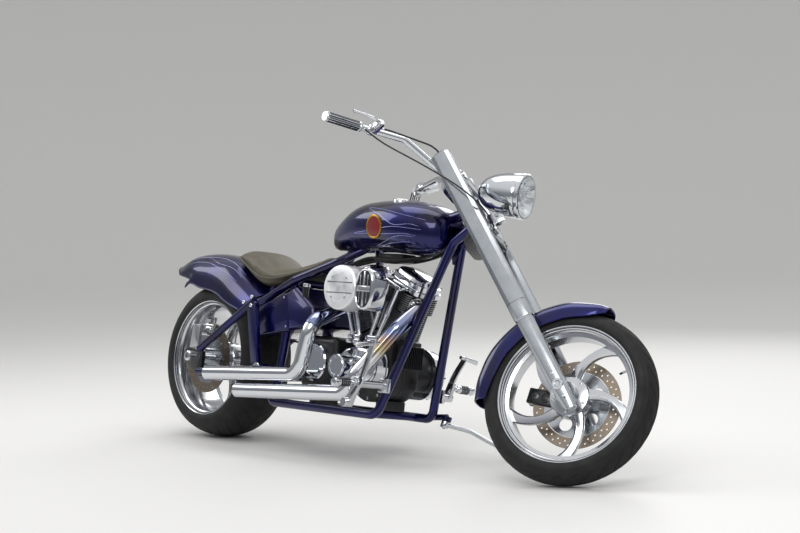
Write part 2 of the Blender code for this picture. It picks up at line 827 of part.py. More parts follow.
def exhaust(points, radius):
    pipe = tube(bent(points, radius, 4), PIPE_RADIUS, 2)
    tail = Vector(points[-1])
    inward = (Vector(points[-2]) - tail).normalized()
    return cut(pipe, [rod(tail - inward * 0.01, tail + inward * 0.20, PIPE_RADIUS - PIPE_WALL)])


def build_exhausts(chassis):
    front = exhaust(
        [
            cylinder_frame(1) @ Vector((HEAD_FLAT + GAP, -0.045, 0.305)),
            cylinder_frame(1) @ Vector((0.098, -0.045, 0.305)),
            cylinder_frame(1) @ Vector((0.112, -0.095, 0.295)),
            (1.262, -0.190, 0.530),
            (1.190, -0.240, 0.400),
            (1.040, -0.242, 0.247),
            (0.380, -0.242, 0.206),
        ],
        0.060,
    )
    finish(front, "front_exhaust", chassis, "chrome")
    rear = exhaust(
        [
            cylinder_frame(-1) @ Vector((-HEAD_FLAT - GAP, -0.035, 0.305)),
            cylinder_frame(-1) @ Vector((-0.098, -0.035, 0.305)),
            cylinder_frame(-1) @ Vector((-0.120, -0.060, 0.290)),
            (0.835, -0.242, 0.500),
            (0.790, -0.242, 0.298),
            (0.160, -0.242, 0.262),
        ],
        0.07,
    )
    finish(rear, "rear_exhaust", chassis, "chrome")


# Bodywork


def section(x, half_width, low, high, power=2.4, count=18):
    middle = (low + high) / 2
    return [(x, a, middle + b) for a, b in oval(half_width, (high - low) / 2, power, count)]


def build_fuel_tank(chassis):
    stations = (
        # x, half-width, low, high
        (0.672, 0.022, 0.796, 0.828),
        (0.690, 0.052, 0.790, 0.862),
        (0.745, 0.092, 0.790, 0.916),
        (0.855, 0.130, 0.796, 0.974),
        (0.965, 0.148, 0.800, 0.995),
        (1.130, 0.152, 0.790, 0.998),
        (1.235, 0.132, 0.788, 0.982),
        (1.300, 0.098, 0.800, 0.955),
        (1.335, 0.055, 0.825, 0.925),
    )
    body = loft([section(*station) for station in stations])
    tunnel = box((1.2, 2 * TANK_TUNNEL, 0.30), (1.0, 0, 0.755))
    top = 0.905
    for vertex in tunnel.data.vertices:
        if vertex.co.z > 0.8:
            vertex.co.z = top + (vertex.co.x - 1.05) * 0.24
    tank = cut(body, [tunnel])
    rails = []
    for side in (-1, 1):
        rails.append(
            tube(bent([(0.905, 0, 0.836), (0.800, side * 0.105, 0.747), (0.566, side * SEAT_RAIL_Y, 0.667)], 0.09), TUBE + 0.003)
        )
    tank = cut(tank, rails)
    cap = turned([(0.0, 0.030), (0.024, 0.030), (0.030, 0.024), (0.030, 0.0), (0.0, 0.0)], 28, closed=False)
    moved(cap, (1.08, -0.060, 0.972))
    finish(fused([tank, cap]), "fuel_tank", chassis, "blue_paint")


def fender_grid(stations, across, power_y, power_drop):
    """Rows of points over an arched fender: each station has a centre, a way out, a width and a skirt."""
    rows = []
    for (x, z), (out_x, out_z), half, skirt in stations:
        row = []
        for i in range(across + 1):
            angle = math.radians(-90 + 180 * i / across)
            side = math.copysign(abs(math.sin(angle)) ** power_y, math.sin(angle))
            drop = 1 - abs(math.cos(angle)) ** power_drop
            row.append((x - out_x * drop * skirt, half * side, z - out_z * drop * skirt))
        rows.append(row)
    return rows


def shell(rows, thickness, smooth=1):
    """A sheet through rows of points, thickened inward and smoothed."""
    mesh = bpy.data.meshes.new("sheet")
    width = len(rows[0])
    points = [point for row in rows for point in row]
    faces = []
    for r in range(len(rows) - 1):
        for c in range(width - 1):
            first = r * width + c
            faces.append((first, first + 1, first + width + 1, first + width))
    mesh.from_pydata(points, [], faces)
    obj = bpy.data.objects.new("sheet", mesh)
    PARTS.objects.link(obj)
    if smooth:
        subdivision = obj.modifiers.new("smooth", "SUBSURF")
        subdivision.levels = smooth
        subdivision.render_levels = smooth
    solid = obj.modifiers.new("thickness", "SOLIDIFY")
    solid.thickness = thickness
    solid.offset = 0
    return baked(obj)


FENDER_SHEET = 0.005


def rear_fender_rows():
    spine = (
        # x, z, way out in degrees, half-width, skirt
        (-0.394, 0.664, 100, 0.095, 0.030),
        (-0.305, 0.716, 105, 0.125, 0.075),
        (-0.200, 0.752, 100, 0.137, 0.120),
        (-0.073, 0.764, 92, 0.140, 0.155),
        (0.035, 0.754, 82, 0.144, 0.155),
        (0.130, 0.726, 70, 0.148, 0.150),
        (0.215, 0.680, 56, 0.150, 0.145),
        (0.344, 0.614, 38, 0.152, 0.137),
    )
    stations = []
    for x, z, out, half, skirt in spine:
        way = (math.cos(math.radians(out)), math.sin(math.radians(out)))
        stations.append(((x, z), way, half, skirt))
    return fender_grid(stations, 6, 0.75, 0.8)


def build_rear_fender(chassis):
    sheet = shell(rear_fender_rows(), FENDER_SHEET)
    bosses = []
    for side in (-1, 1):
        inner = (0.266, side * (RAIL_TAIL_Y + TUBE - 0.0009), 0.561)
        bosses.append(rod(inner, (0.266, side * 0.150, 0.561), 0.007, sides=10))
    finish(fused([sheet, *bosses]), "rear_fender", chassis, "blue_paint")


def build_seat(chassis):
    stations = (
        # x, half-width, low, high
        (0.105, 0.060, 0.756, 0.766),
        (0.150, 0.105, 0.745, 0.776),
        (0.215, 0.122, 0.718, 0.770),
        (0.275, 0.126, 0.672, 0.748),
        (0.330, 0.126, 0.640, 0.722),
        (SEAT_LOW[0], 0.122, SEAT_LOW[1], 0.706),
        (0.490, 0.108, 0.664, 0.712),
        (0.580, 0.084, 0.694, 0.738),
        (0.650, 0.060, 0.724, 0.770),
        (0.668, 0.040, 0.748, 0.774),
    )
    finish(loft([section(*station, power=2.8) for station in stations]), "seat", chassis, "seat_leather")


def build_oil_tank(chassis):
    """Oil tank and side covers below the seat, with the filler neck on the right."""
    outline = [(0.430, 0.440), (0.690, 0.470), (0.690, 0.600), (0.600, 0.640), (0.560, 0.610), (0.440, 0.560)]
    rings = []
    for y, inset in ((-0.155, 0.012), (-0.145, 0.0), (0.145, 0.0), (0.155, 0.012)):
        centre = (0.57, 0.53)
        ring = []
        for x, z in outline:
            pull = Vector((x - centre[0], z - centre[1]))
            pull *= 1 - inset / pull.length
            ring.append((centre[0] + pull.x, y, centre[1] + pull.y))
        rings.append(ring)
    body = loft(rings)
    slots = []
    for side in (-1, 1):
        slots.append(rod((0.490, side * UPRIGHT_Y, 0.245), (0.545, side * UPRIGHT_Y, 0.655), TUBE + 0.0012))
        slots.append(tube([(0.700, side * 0.115, 0.7128), (0.566, side * SEAT_RAIL_Y, 0.667),
                           (0.345, side * RAIL_TAIL_Y, 0.573)], TUBE + 0.002))
    slots.append(rod((0.545, -0.2, 0.655), (0.545, 0.2, 0.655), 0.017))
    finish(cut(body, slots), "oil_tank", chassis, "blue_paint")


# Forward controls, regulator, caliper and tail lamp


def build_controls(chassis):
    """Forward foot controls: bracket, peg, pedal arm and its toe pad on each side."""
    for side, name, reach, x, z, lug_x, lug_y, lug_z in (
        (-1, "right_control", 0.290, 1.120, 0.205, 1.092, RAIL_Y + TUBE + GAP, 0.190),
        (1, "left_control", 0.200, 1.160, 0.255, 1.165, 0.1466, 0.265),
    ):
        arm_x = x + 0.020
        lug = box((0.060, 0.014, 0.056), (lug_x, side * (lug_y + 0.007), lug_z), 0.002)
        bracket = tube([(x, side * (lug_y + 0.004), z), (x, side * reach, z)], 0.015)
        web = box((0.050, 0.012, 0.110), (x + 0.010, side * reach, z + 0.040), 0.004)
        peg = rod((x + 0.020, side * reach, z + 0.080), (x + 0.020, side * (reach + 0.115), z + 0.080), 0.011, 0.016)
        arm = tube(
            bent(
                [
                    (arm_x, side * (reach + 0.012), z),
                    (arm_x + 0.010, side * (reach + 0.014), z + 0.060),
                    (arm_x + 0.060, side * (reach + 0.018), z + 0.215),
                ],
                0.05,
            ),
            0.0075,
        )
        toe = (arm_x + 0.060, z + 0.215)
        pad = rod((toe[0], side * (reach + 0.010), toe[1]), (toe[0], side * (reach + 0.100), toe[1]), 0.012)
        boss = rod((arm_x, side * (reach - 0.010), z), (arm_x, side * (reach + 0.024), z), 0.016)
        finish(fused([bracket, lug, web, peg, boss, arm, pad]), name, chassis, "polished_aluminium")


def build_regulator(chassis):
    back = 1.1268
    fins = [box((0.030, 0.100, 0.090), (back + 0.015, 0, 0.400))]
    for i in range(6):
        fins.append(box((0.020, 0.005, 0.086), (back + 0.039, -0.045 + 0.018 * i, 0.400)))
    finish(fused(fins), "regulator", chassis, "black_engine")


def build_rear_caliper(chassis):
    y = REAR_DISC_Y
    angle = math.radians(68)
    spot = Vector((math.cos(angle), 0, math.sin(angle))) * (REAR_DISC_RADIUS - 0.020)
    centre = Vector((0, y, REAR_TYRE_RADIUS)) + spot
    body = box((0.100, 0.052, 0.056), centre - Vector((0, 0.004, 0)), 0.008)
    plate_y = ARM_Y - 0.008 - GAP - 0.006
    hanger = side_plate([(-0.034, 0.345), (0.026, 0.345), (0.034, 0.430), (0.0, 0.430)], 0.012, -plate_y)
    body = fused([body, hanger])
    hub = Vector((0, y, REAR_TYRE_RADIUS))
    reach = Vector((0, DISC_THICKNESS / 2 + PAD_GAP, 0))
    slot = rod(hub - reach, hub + reach, REAR_DISC_RADIUS + RUN_GAP, sides=40)
    finish(cut(body, [slot]), "rear_caliper", chassis, "polished_aluminium")


def build_tail_lamp(chassis):
    fender = bpy.data.objects["rear_fender"]
    slope = Matrix.Rotation(math.radians(-17), 4, "Y")
    _, spot, _, _ = fender.ray_cast((-0.335, 0, 1.0), (0, 0, -1))
    lens = loft(
        [
            [(a, b, depth) for a, b in oval(0.020 - inset, 0.034 - inset, 2.6, 20)]
            for depth, inset in ((-0.001, 0), (0.010, 0), (0.014, 0.005))
        ]
    )
    turned_by(lens, Matrix.Translation(spot) @ slope)
    sheath = shell(rear_fender_rows(), FENDER_SHEET + 2 * GAP)
    finish(cut(lens, [sheath]), "tail_lamp", chassis, "tail_lens")


# Side stand


STAND_PIVOT = (1.195, 0.172, 0.160)
STAND_AXIS = Vector((0.10, 0.25, 0.96)).normalized()
STAND_PIN_RADIUS = 0.006
STAND_COLLAR = 0.026
STAND_FOOT = (1.500, 0.285)
STAND_ROD = 0.0085


def build_side_stand(pivot):
    """Folding leg, modelled about its pivot in the chassis' directions."""
    spot = Vector(STAND_PIVOT)
    foot = Vector((*STAND_FOOT, ground_below(*STAND_FOOT) + 0.0105)) - spot
    knee = foot * 0.30 + Vector((0, 0.020, 0.012))
    leg = tube(bent([(0, 0, 0), knee, foot], 0.05), STAND_ROD)
    toe = tube(bent([foot, foot + Vector((0.030, 0.030, 0)), foot + Vector((0.0, 0.060, 0.008))], 0.012), STAND_ROD * 0.8)
    half = STAND_COLLAR / 2
    collar = rod(-STAND_AXIS * half, STAND_AXIS * half, 0.016)
    hole = bore(-STAND_AXIS * 0.03, STAND_AXIS * 0.03, STAND_PIN_RADIUS)
    finish(cut(fused([collar, leg, toe]), [hole]), "side_stand", pivot, "chrome")


# Fork, bars and lamp, in the steering frame: X ahead, Z up the steering axis


def leg_centre(height):
    """How far ahead of the steering axis a fork leg lies at this height."""
    return FORK_OFFSET * (1 - height / LEG_TOP) - 0.003 * height


def leg_rings(y, grow=0.0):
    rings = []
    for height, half_x, half_y in (
        (LEG_FOOT, 0.020, 0.018),
        (-0.020, 0.028, 0.025),
        (0.240, 0.031, 0.026),
        (0.300, 0.036, 0.028),
        (LEG_TOP - 0.012, 0.037, 0.028),
        (LEG_TOP, 0.027, 0.019),
    ):
        x = leg_centre(height)
        rings.append([(x + a, y + b, height) for a, b in oval(half_x + grow, half_y + grow, 3.0, 20)])
    return rings


def build_legs(fork):
    for side, name in ((-1, "right_fork_leg"), (1, "left_fork_leg")):
        leg = loft(leg_rings(side * LEG_Y))
        hole = bore((FORK_OFFSET, side * 0.05, 0), (FORK_OFFSET, side * 0.2, 0), AXLE_RADIUS)
        finish(cut(leg, [hole]), name, fork, "brushed_aluminium")


def build_trees(fork):
    for height, name in ((LOWER_TREE, "lower_tree"), (UPPER_TREE, "upper_tree")):
        middle = leg_centre(height)
        outline = [
            (-0.045, 0.040), (-0.030, 0.120), (middle - 0.030, 0.168), (middle + 0.030, 0.168),
            (middle + 0.048, 0.140), (0.045, 0.060), (0.045, -0.060), (middle + 0.048, -0.140),
            (middle + 0.030, -0.168), (middle - 0.030, -0.168), (-0.030, -0.120), (-0.045, -0.040),
        ]
        tree = plate(outline, TREE_THICKNESS, (0, 0, height + TREE_THICKNESS / 2))
        cutters = [loft(leg_rings(side * LEG_Y, GAP)) for side in (-1, 1)]
        tree = cut(tree, cutters)
        if name == "lower_tree":
            stem = rod((0, 0, LOWER_TREE + 0.01), (0, 0, UPPER_TREE - GAP), STEM_RADIUS)
            tree = fused([tree, stem])
        finish(tree, name, fork, "black_paint" if name == "lower_tree" else "polished_aluminium")


GRIP_INNER = Vector((-0.200, 0.280, 1.248))
GRIP_OUTER = Vector((-0.295, 0.425, 1.287))


def bar_path(side):
    return bent(
        [
            (-0.030, 0, UPPER_TREE + TREE_THICKNESS + 0.030),
            (-0.030, side * 0.060, UPPER_TREE + TREE_THICKNESS + 0.030),
            (-0.087, side * 0.175, 1.185),
            GRIP_INNER @ Matrix.Diagonal((1, side, 1)),
            GRIP_OUTER @ Matrix.Diagonal((1, side, 1)),
        ],
        0.04,
    )


def build_handlebar(fork):
    right = bar_path(-1)
    left = bar_path(1)
    bar = tube(list(reversed(right)) + left[1:], BAR_RADIUS)
    risers = []
    for side in (-1, 1):
        foot = UPPER_TREE + TREE_THICKNESS + GAP
        risers.append(rod((-0.030, side * 0.045, foot), (-0.030, side * 0.045, foot + 0.045), 0.017))
    finish(fused([bar, *risers]), "handlebar", fork, "chrome")
    for side, name in ((-1, "right_grip"), (1, "left_grip")):
        inner = GRIP_INNER @ Matrix.Diagonal((1, side, 1))
        outer = GRIP_OUTER @ Matrix.Diagonal((1, side, 1))
        along = (outer - inner).normalized()
        grip = rod(inner + along * 0.050, outer + along * 0.006, GRIP_RADIUS)
        hole = bore(inner + along * 0.03, outer + along * 0.0005, BAR_RADIUS)
        finish(cut(grip, [hole]), name, fork, "chrome")
        perch_at = inner + along * 0.034
        clamp = rod(perch_at - along * 0.014, perch_at + along * 0.014, 0.021)
        hole = bore(perch_at - along * 0.03, perch_at + along * 0.03, BAR_RADIUS)
        ahead = along.cross(Vector((0, 0, 1))).normalized() * -side
        body = box((0.060, 0.030, 0.026), (0, 0, 0), 0.005)
        turn = Matrix((ahead, -along, ahead.cross(-along))).transposed().to_4x4()
        turned_by(body, Matrix.Translation(perch_at + ahead * 0.034) @ turn)
        pivot = perch_at + ahead * 0.055
        lever = tube(bent([pivot, pivot + along * 0.060 + ahead * 0.012, pivot + along * 0.150 - ahead * 0.004], 0.04), 0.006)
        whole = cut(fused([clamp, body, lever]), [hole])
        finish(whole, name.replace("grip", "lever"), fork, "chrome")


LAMP_CENTRE = Vector((0.206, 0, 0.809))
LAMP_RADIUS = 0.086
LAMP_LENGTH = 0.190


def lamp_frame():
    """Lamp frame: local Z points ahead and level when the bike is upright."""
    ahead = Vector((math.cos(RAKE), 0, -math.sin(RAKE)))
    return Matrix.Translation(LAMP_CENTRE) @ ahead.to_track_quat("Z", "Y").to_matrix().to_4x4()


def build_headlamp(fork):
    profile = [(LAMP_RADIUS, 0.0), (LAMP_RADIUS, -0.030)]
    for i in range(1, 7):
        share = i / 6
        profile.append((LAMP_RADIUS * math.cos(share * math.pi / 2) ** 0.75, -0.030 - (LAMP_LENGTH - 0.030) * math.sin(share * math.pi / 2)))
    profile[-1] = (0.0, -LAMP_LENGTH)
    rim_depth = [(0.0, -0.022), (LAMP_RADIUS - 0.007, -0.022), (LAMP_RADIUS - 0.007, 0.0)]
    bucket = turned(rim_depth + profile, 28, closed=False)
    finish(turned_by(bucket, lamp_frame()), "headlamp", fork, "chrome")
    radius = LAMP_RADIUS - 0.007 - GAP
    glass = [(0.0, -0.022 + GAP), (radius, -0.022 + GAP), (radius, 0.0)]
    glass += [(radius * math.cos(a), 0.012 * math.sin(a)) for a in (0.4, 0.8, 1.2)] + [(0.0, 0.012)]
    finish(turned_by(turned(glass, 28, closed=False), lamp_frame()), "headlamp_lens", fork, "lamp_glass")
    top = LOWER_TREE + TREE_THICKNESS + GAP
    bracket = box((0.026, 0.050, 0.050), (0.050, 0, top + 0.025), 0.004)
    shell_cut = turned([(0.0, 0.02), (LAMP_RADIUS + GAP, 0.02), *[(r + GAP if r else 0.0, z) for r, z in profile[1:]]], 28, closed=False)
    turned_by(shell_cut, lamp_frame())
    arm = box((0.050, 0.030, 0.070), (0.080, 0, top + 0.050), 0.004)
    finish(cut(fused([bracket, arm]), [shell_cut]), "lamp_bracket", fork, "polished_aluminium")


def build_front_fender(fork):
    outer = 0.349
    stations = []
    for angle, half, skirt in ((40, 0.050, 0.030), (50, 0.068, 0.060), (70, 0.075, 0.074), (95, 0.076, 0.076),
                               (120, 0.076, 0.076), (140, 0.074, 0.070), (155, 0.066, 0.050)):
        way = (math.cos(math.radians(angle)), math.sin(math.radians(angle)))
        spot = (FORK_OFFSET + outer * way[0], outer * way[1])
        stations.append((spot, way, half, skirt))
    sheet = shell(fender_grid(stations, 6, 0.7, 0.75), 0.003)
    stays = []
    for side in (-1, 1):
        spot = (leg_centre(0.300), side * 0.068, 0.300)
        stays.append(rod(spot, (spot[0], side * (LEG_Y - 0.0278 - GAP), 0.300), 0.008, sides=10))
    finish(fused([sheet, *stays]), "front_fender", fork, "blue_paint")


def build_front_axle(fork):
    shaft = rod((FORK_OFFSET, -LEG_Y - 0.030, 0), (FORK_OFFSET, LEG_Y + 0.030, 0), AXLE_RADIUS)
    finish(shaft, "front_axle", fork, "chrome")


def build_front_caliper(fork):
    angle = math.radians(140)
    centre = Vector((FORK_OFFSET + 0.140 * math.cos(angle), FRONT_DISC_Y - 0.0065, 0.140 * math.sin(angle)))
    body = box((0.060, 0.046, 0.100), (0, 0, 0), 0.008)
    turned_by(body, Matrix.Translation(centre + Vector((0, 0.012, 0))) @ Matrix.Rotation(math.radians(-50), 4, "Y"))
    lug = box((0.080, 0.020, 0.040), (-0.005, 0.112, 0.090), 0.002)
    lug = cut(lug, [loft(leg_rings(LEG_Y, GAP))])
    body = fused([body, lug])
    hub = Vector((FORK_OFFSET, centre.y, 0))
    reach = Vector((0, DISC_THICKNESS / 2 + PAD_GAP, 0))
    slot = rod(hub - reach, hub + reach, FRONT_DISC_RADIUS + RUN_GAP, sides=40)
    finish(cut(body, [slot]), "front_caliper", fork, "black_paint")


def main():
    rotation, height = stance()
    place = Matrix.Translation((-ORIGIN_FROM_REAR_CONTACT[0], -ORIGIN_FROM_REAR_CONTACT[1], height)) @ rotation
    leaning = make_empty("stance", None, place.translation, (-LEAN, 0, 0))
    pitch = (Matrix.Rotation(LEAN, 4, "X") @ rotation).to_euler().y
    chassis = make_empty("chassis", leaning, (0, 0, 0), (0, pitch, 0))
    raked = make_empty("steering_axis", chassis, fork_foot(), (0, -RAKE, 0))
    fork = make_empty("fork", raked, (0, 0, 0), (0, 0, STEER_LOCK))
    across = (math.radians(-90), 0, 0)
    front_hub = make_empty("front_hub", fork, (FORK_OFFSET, 0, 0), across)
    rear_hub = make_empty("rear_hub", chassis, (0, 0, REAR_TYRE_RADIUS), across)
    stand = make_empty("stand_pivot", chassis, STAND_PIVOT)

    build_frame(chassis)
    build_swingarm(chassis)
    build_rear_axle(chassis)
    build_belt(chassis)
    build_cases(chassis)
    build_covers(chassis)
    for side, end in ((1, "front"), (-1, "rear")):
        build_cylinder(chassis, side, end + "_cylinder")
        build_rocker_box(chassis, side, end + "_rocker_box")
        build_pushrods(chassis, side, end + "_pushrods")
    build_intake(chassis)
    build_exhausts(chassis)
    build_fuel_tank(chassis)
    build_rear_fender(chassis)
    build_seat(chassis)
    build_oil_tank(chassis)
    build_controls(chassis)
    build_regulator(chassis)
    build_rear_caliper(chassis)
    build_tail_lamp(chassis)
    build_side_stand(stand)

    build_legs(fork)
    build_trees(fork)
    build_handlebar(fork)
    build_headlamp(fork)
    build_front_fender(fork)
    build_front_axle(fork)
    build_front_caliper(fork)

    build_front_wheel(front_hub)
    build_rear_wheel(rear_hub)


clear_scene()
PARTS = make_collection("chopper_motorcycle")
SLOTS = {name: make_material(name) for name in MATERIALS}
main()
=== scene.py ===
"""Chopper motorcycle on its side stand: finishes, castings, sheet metal and soft parts on its frame.

Each sub-assembly is a class that builds its own meshes in the frame it is carried by: the chassis,
the turned fork or a wheel hub. Metres throughout, +X ahead, +Y to the rider's left, +Z up.
"""

from __future__ import annotations

import json
import logging
from collections.abc import Callable, Iterable, Sequence
from dataclasses import dataclass, field
from enum import Enum
from math import acos, asin, atan2, copysign, cos, degrees, pi, radians, sin, tan, tau

import bmesh
import bpy
from mathutils import Matrix, Vector

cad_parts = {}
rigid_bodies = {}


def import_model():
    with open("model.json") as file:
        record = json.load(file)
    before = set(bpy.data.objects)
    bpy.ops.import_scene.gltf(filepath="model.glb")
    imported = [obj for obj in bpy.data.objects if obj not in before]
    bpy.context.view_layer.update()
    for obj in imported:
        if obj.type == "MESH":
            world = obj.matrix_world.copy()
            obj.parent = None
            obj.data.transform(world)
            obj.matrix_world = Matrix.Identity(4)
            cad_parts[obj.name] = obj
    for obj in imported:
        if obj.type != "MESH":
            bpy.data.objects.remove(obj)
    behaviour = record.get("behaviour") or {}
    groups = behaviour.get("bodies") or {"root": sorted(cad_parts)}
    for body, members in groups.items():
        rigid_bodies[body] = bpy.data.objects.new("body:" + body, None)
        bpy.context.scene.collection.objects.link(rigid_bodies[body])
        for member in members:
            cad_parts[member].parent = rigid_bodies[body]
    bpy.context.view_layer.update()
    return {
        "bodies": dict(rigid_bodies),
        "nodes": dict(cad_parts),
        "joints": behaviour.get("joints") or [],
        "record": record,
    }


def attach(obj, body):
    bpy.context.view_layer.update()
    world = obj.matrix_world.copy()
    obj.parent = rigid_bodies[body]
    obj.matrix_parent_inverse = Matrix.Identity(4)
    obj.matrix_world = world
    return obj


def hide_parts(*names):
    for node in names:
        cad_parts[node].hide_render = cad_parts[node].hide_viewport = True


LOG = logging.getLogger("chopper")
Point = Sequence[float]
Ring = list[Vector]
Flat = list[tuple[float, float]]
Socket = bpy.types.NodeSocket

OWN_PLACE = "own_place"
MM_PER_M = 1000.0
AXIS_GAP = 1e-5
COAT_ROUGHNESS = 0.03
LEAST_ROUGHNESS = 0.02
SMUDGE_MM = 60.0
# where most of a noise's values lie
NOISE_RANGE = {"From Min": 0.3, "From Max": 0.7}
GLASS_IOR = 1.5
RAKE = radians(38.7)
REAR_TYRE_RADIUS = 0.322
FRONT_TYRE_RADIUS = 0.3185


class Body(Enum):
    """The rigid bodies that a piece can ride on."""

    CHASSIS = "root"
    FORK = "steering"
    FRONT_WHEEL = "front_wheel"
    REAR_WHEEL = "rear_wheel"
    STAND = "side_stand"


class Side(Enum):
    """The two sides of the motorcycle, with the sign of their Y."""

    RIGHT = -1
    LEFT = 1

    @property
    def word(self) -> str:
        """The side's name as it stands in piece names."""
        return self.name.lower()

    @property
    def out(self) -> Vector:
        """The way outward on this side."""
        return Vector((0, self.value, 0))


# Small tools


def srgb(code: str) -> tuple[float, float, float, float]:
    """Turns a hex sRGB colour into linear RGBA.

    Args:
        code: six hex digits, such as "1a2b3c".

    Returns:
        The colour's linear red, green, blue and an alpha of one.
    """
    parts = [int(code[i : i + 2], 16) / 255 for i in (0, 2, 4)]
    linear = [c / 12.92 if c <= 0.04045 else ((c + 0.055) / 1.055) ** 2.4 for c in parts]
    return (linear[0], linear[1], linear[2], 1.0)


@dataclass
class Bench:
    """A shader's nodes while they are made.

    Args:
        tree: the node tree.
        shader: the shader that the nodes feed.
    """

    tree: bpy.types.NodeTree
    shader: bpy.types.Node

    def node(self, kind: str, links: dict | None = None, **settings: object) -> bpy.types.Node:
        """Adds one shader node.

        Args:
            kind: the node's type, such as "TexNoise", without its prefix.
            links: input name or number to a value, or to the output socket that feeds it.
            settings: properties of the node itself.

        Returns:
            The new node.
        """
        node = self.tree.nodes.new("ShaderNode" + kind)
        for name, value in settings.items():
            setattr(node, name, value)
        for name, value in (links or {}).items():
            if isinstance(value, Socket):
                self.tree.links.new(value, node.inputs[name])
            else:
                node.inputs[name].default_value = value
        return node

    def feed(self, name: str, source: Socket) -> None:
        """Feeds one input of the shader."""
        self.tree.links.new(source, self.shader.inputs[name])

    def ramp(self, source: Socket, stops: Sequence[tuple[float, str | float]]) -> Socket:
        """Maps a value to colours or grey levels.

        Args:
            source: the socket that gives the value.
            stops: places from 0 to 1, each with a hex colour or a grey level.

        Returns:
            The colour output.
        """
        node = self.node("ValToRGB", {"Fac": source})
        marks = node.color_ramp.elements
        while len(marks) < len(stops):
            marks.new(0.5)
        for mark, (place, value) in zip(marks, stops):
            mark.position = place
            mark.color = srgb(value) if isinstance(value, str) else (value, value, value, 1.0)
        return node.outputs["Color"]

    def mix(self, factor: float | Socket, first: object, second: object, blend: str = "MIX") -> Socket:
        """Blends two colours; each of the three can be a value or a socket."""
        links = {"Factor": factor, "A": first, "B": second}
        return self.node("Mix", links, data_type="RGBA", blend_type=blend).outputs["Result"]

    def place(self, stretch: Point = (1, 1, 1)) -> Socket:
        """The piece's own coordinates, the pattern this many times denser along X, Y and Z."""
        where = self.node("Attribute", attribute_name=OWN_PLACE).outputs["Vector"]
        return self.node("Mapping", {"Vector": where, "Scale": stretch}).outputs["Vector"]

    def noise(self, place: Socket, size_mm: float, detail: float = 3.0) -> Socket:
        """A noise whose blobs are about this many millimetres across, with octaves of finer detail."""
        links = {"Vector": place, "Scale": MM_PER_M / size_mm, "Detail": detail}
        return self.node("TexNoise", links).outputs["Fac"]


# Finishes


@dataclass(frozen=True)
class Finish:
    """A surface as it is made: one real material and one process.

    Scales are the pattern's real size in millimetres.
    """

    name: str
    colour: str
    roughness: float
    metallic: float = 0.0
    grain_mm: float = 1.0
    bump_mm: float = 0.02
    second: str = ""
    coat: float = 0.0

    def make(self) -> bpy.types.Material:
        """Builds the material: its plain values, then the pattern that dress() adds.

        Returns:
            The finished material.
        """
        material = bpy.data.materials.new(self.name)
        material.use_nodes = True
        material.diffuse_color = srgb(self.colour)
        shader = material.node_tree.nodes["Principled BSDF"]
        plain = {
            "Base Color": srgb(self.colour),
            "Roughness": self.roughness,
            "Metallic": self.metallic,
            "Coat Weight": self.coat,
            "Coat Roughness": COAT_ROUGHNESS,
        }
        for name, value in plain.items():
            shader.inputs[name].default_value = value
        self.dress(Bench(material.node_tree, shader))
        return material

    def dress(self, bench: Bench) -> None:
        """Adds a fine even grain and faint smudges.

        Args:
            bench: the material's nodes.
        """
        place = bench.place()
        smudge = bench.noise(place, SMUDGE_MM, 4.0)
        self.roughened(bench, smudge, 0.35 * self.roughness)
        self.bumped(bench, bench.noise(place, self.grain_mm))
        if self.second:
            bench.feed("Base Color", bench.mix(smudge, srgb(self.colour), srgb(self.second)))

    def two_tone(self, bench: Bench, source: Socket, low: float, high: float) -> Socket:
        """Runs from the finish's colour to its second one between two values of the source."""
        return bench.ramp(source, [(low, self.colour), (high, self.second)])

    def roughened(self, bench: Bench, source: Socket, spread: float) -> None:
        """Lets the roughness wander round the finish's own value.

        Args:
            bench: the material's nodes.
            source: a value from 0 to 1.
            spread: how far the roughness goes either way.
        """
        reach = {"To Min": max(self.roughness - spread, LEAST_ROUGHNESS), "To Max": self.roughness + spread}
        bench.feed(
            "Roughness", bench.node("MapRange", {"Value": source, **NOISE_RANGE, **reach}).outputs["Result"]
        )

    def bumped(self, bench: Bench, source: Socket, strength: float = 1.0) -> None:
        """Raises the surface by a share of the finish's bump height, where the source is 1."""
        links = {"Height": source, "Distance": self.bump_mm / MM_PER_M, "Strength": strength}
        bench.feed("Normal", bench.node("Bump", links).outputs["Normal"])


@dataclass(frozen=True)
class BrushedMetal(Finish):
    """Metal drawn over a belt: fine parallel lines that widen the highlight across them."""

    def dress(self, bench: Bench) -> None:
        """Adds long scratches along the piece's own Z.

        Args:
            bench: the material's nodes.
        """
        lines = bench.noise(bench.place((1.0, 1.0, 0.04)), self.grain_mm, 6.0)
        self.roughened(bench, lines, 0.2 * self.roughness)
        self.bumped(bench, lines, 0.6)
        smudge = bench.noise(bench.place(), 70.0, 4.0)
        bench.feed("Base Color", self.two_tone(bench, smudge, 0.3, 0.75))


@dataclass(frozen=True)
class PearlPaint(Finish):
    """Candy blue over a metallic base under clear lacquer, with soft violet clouds and flake glitter."""

    def dress(self, bench: Bench) -> None:
        """Adds clouds of violet and the flakes in the base.

        Args:
            bench: the material's nodes.
        """
        place = bench.place()
        tone = self.two_tone(bench, bench.noise(place, 190.0, 2.0), 0.36, 0.66)
        flake = bench.node("TexVoronoi", {"Vector": place, "Scale": MM_PER_M / self.grain_mm}).outputs
        bench.feed("Base Color", bench.mix(0.22, tone, flake["Color"], "MULTIPLY"))
        self.roughened(bench, flake["Distance"], 0.08)


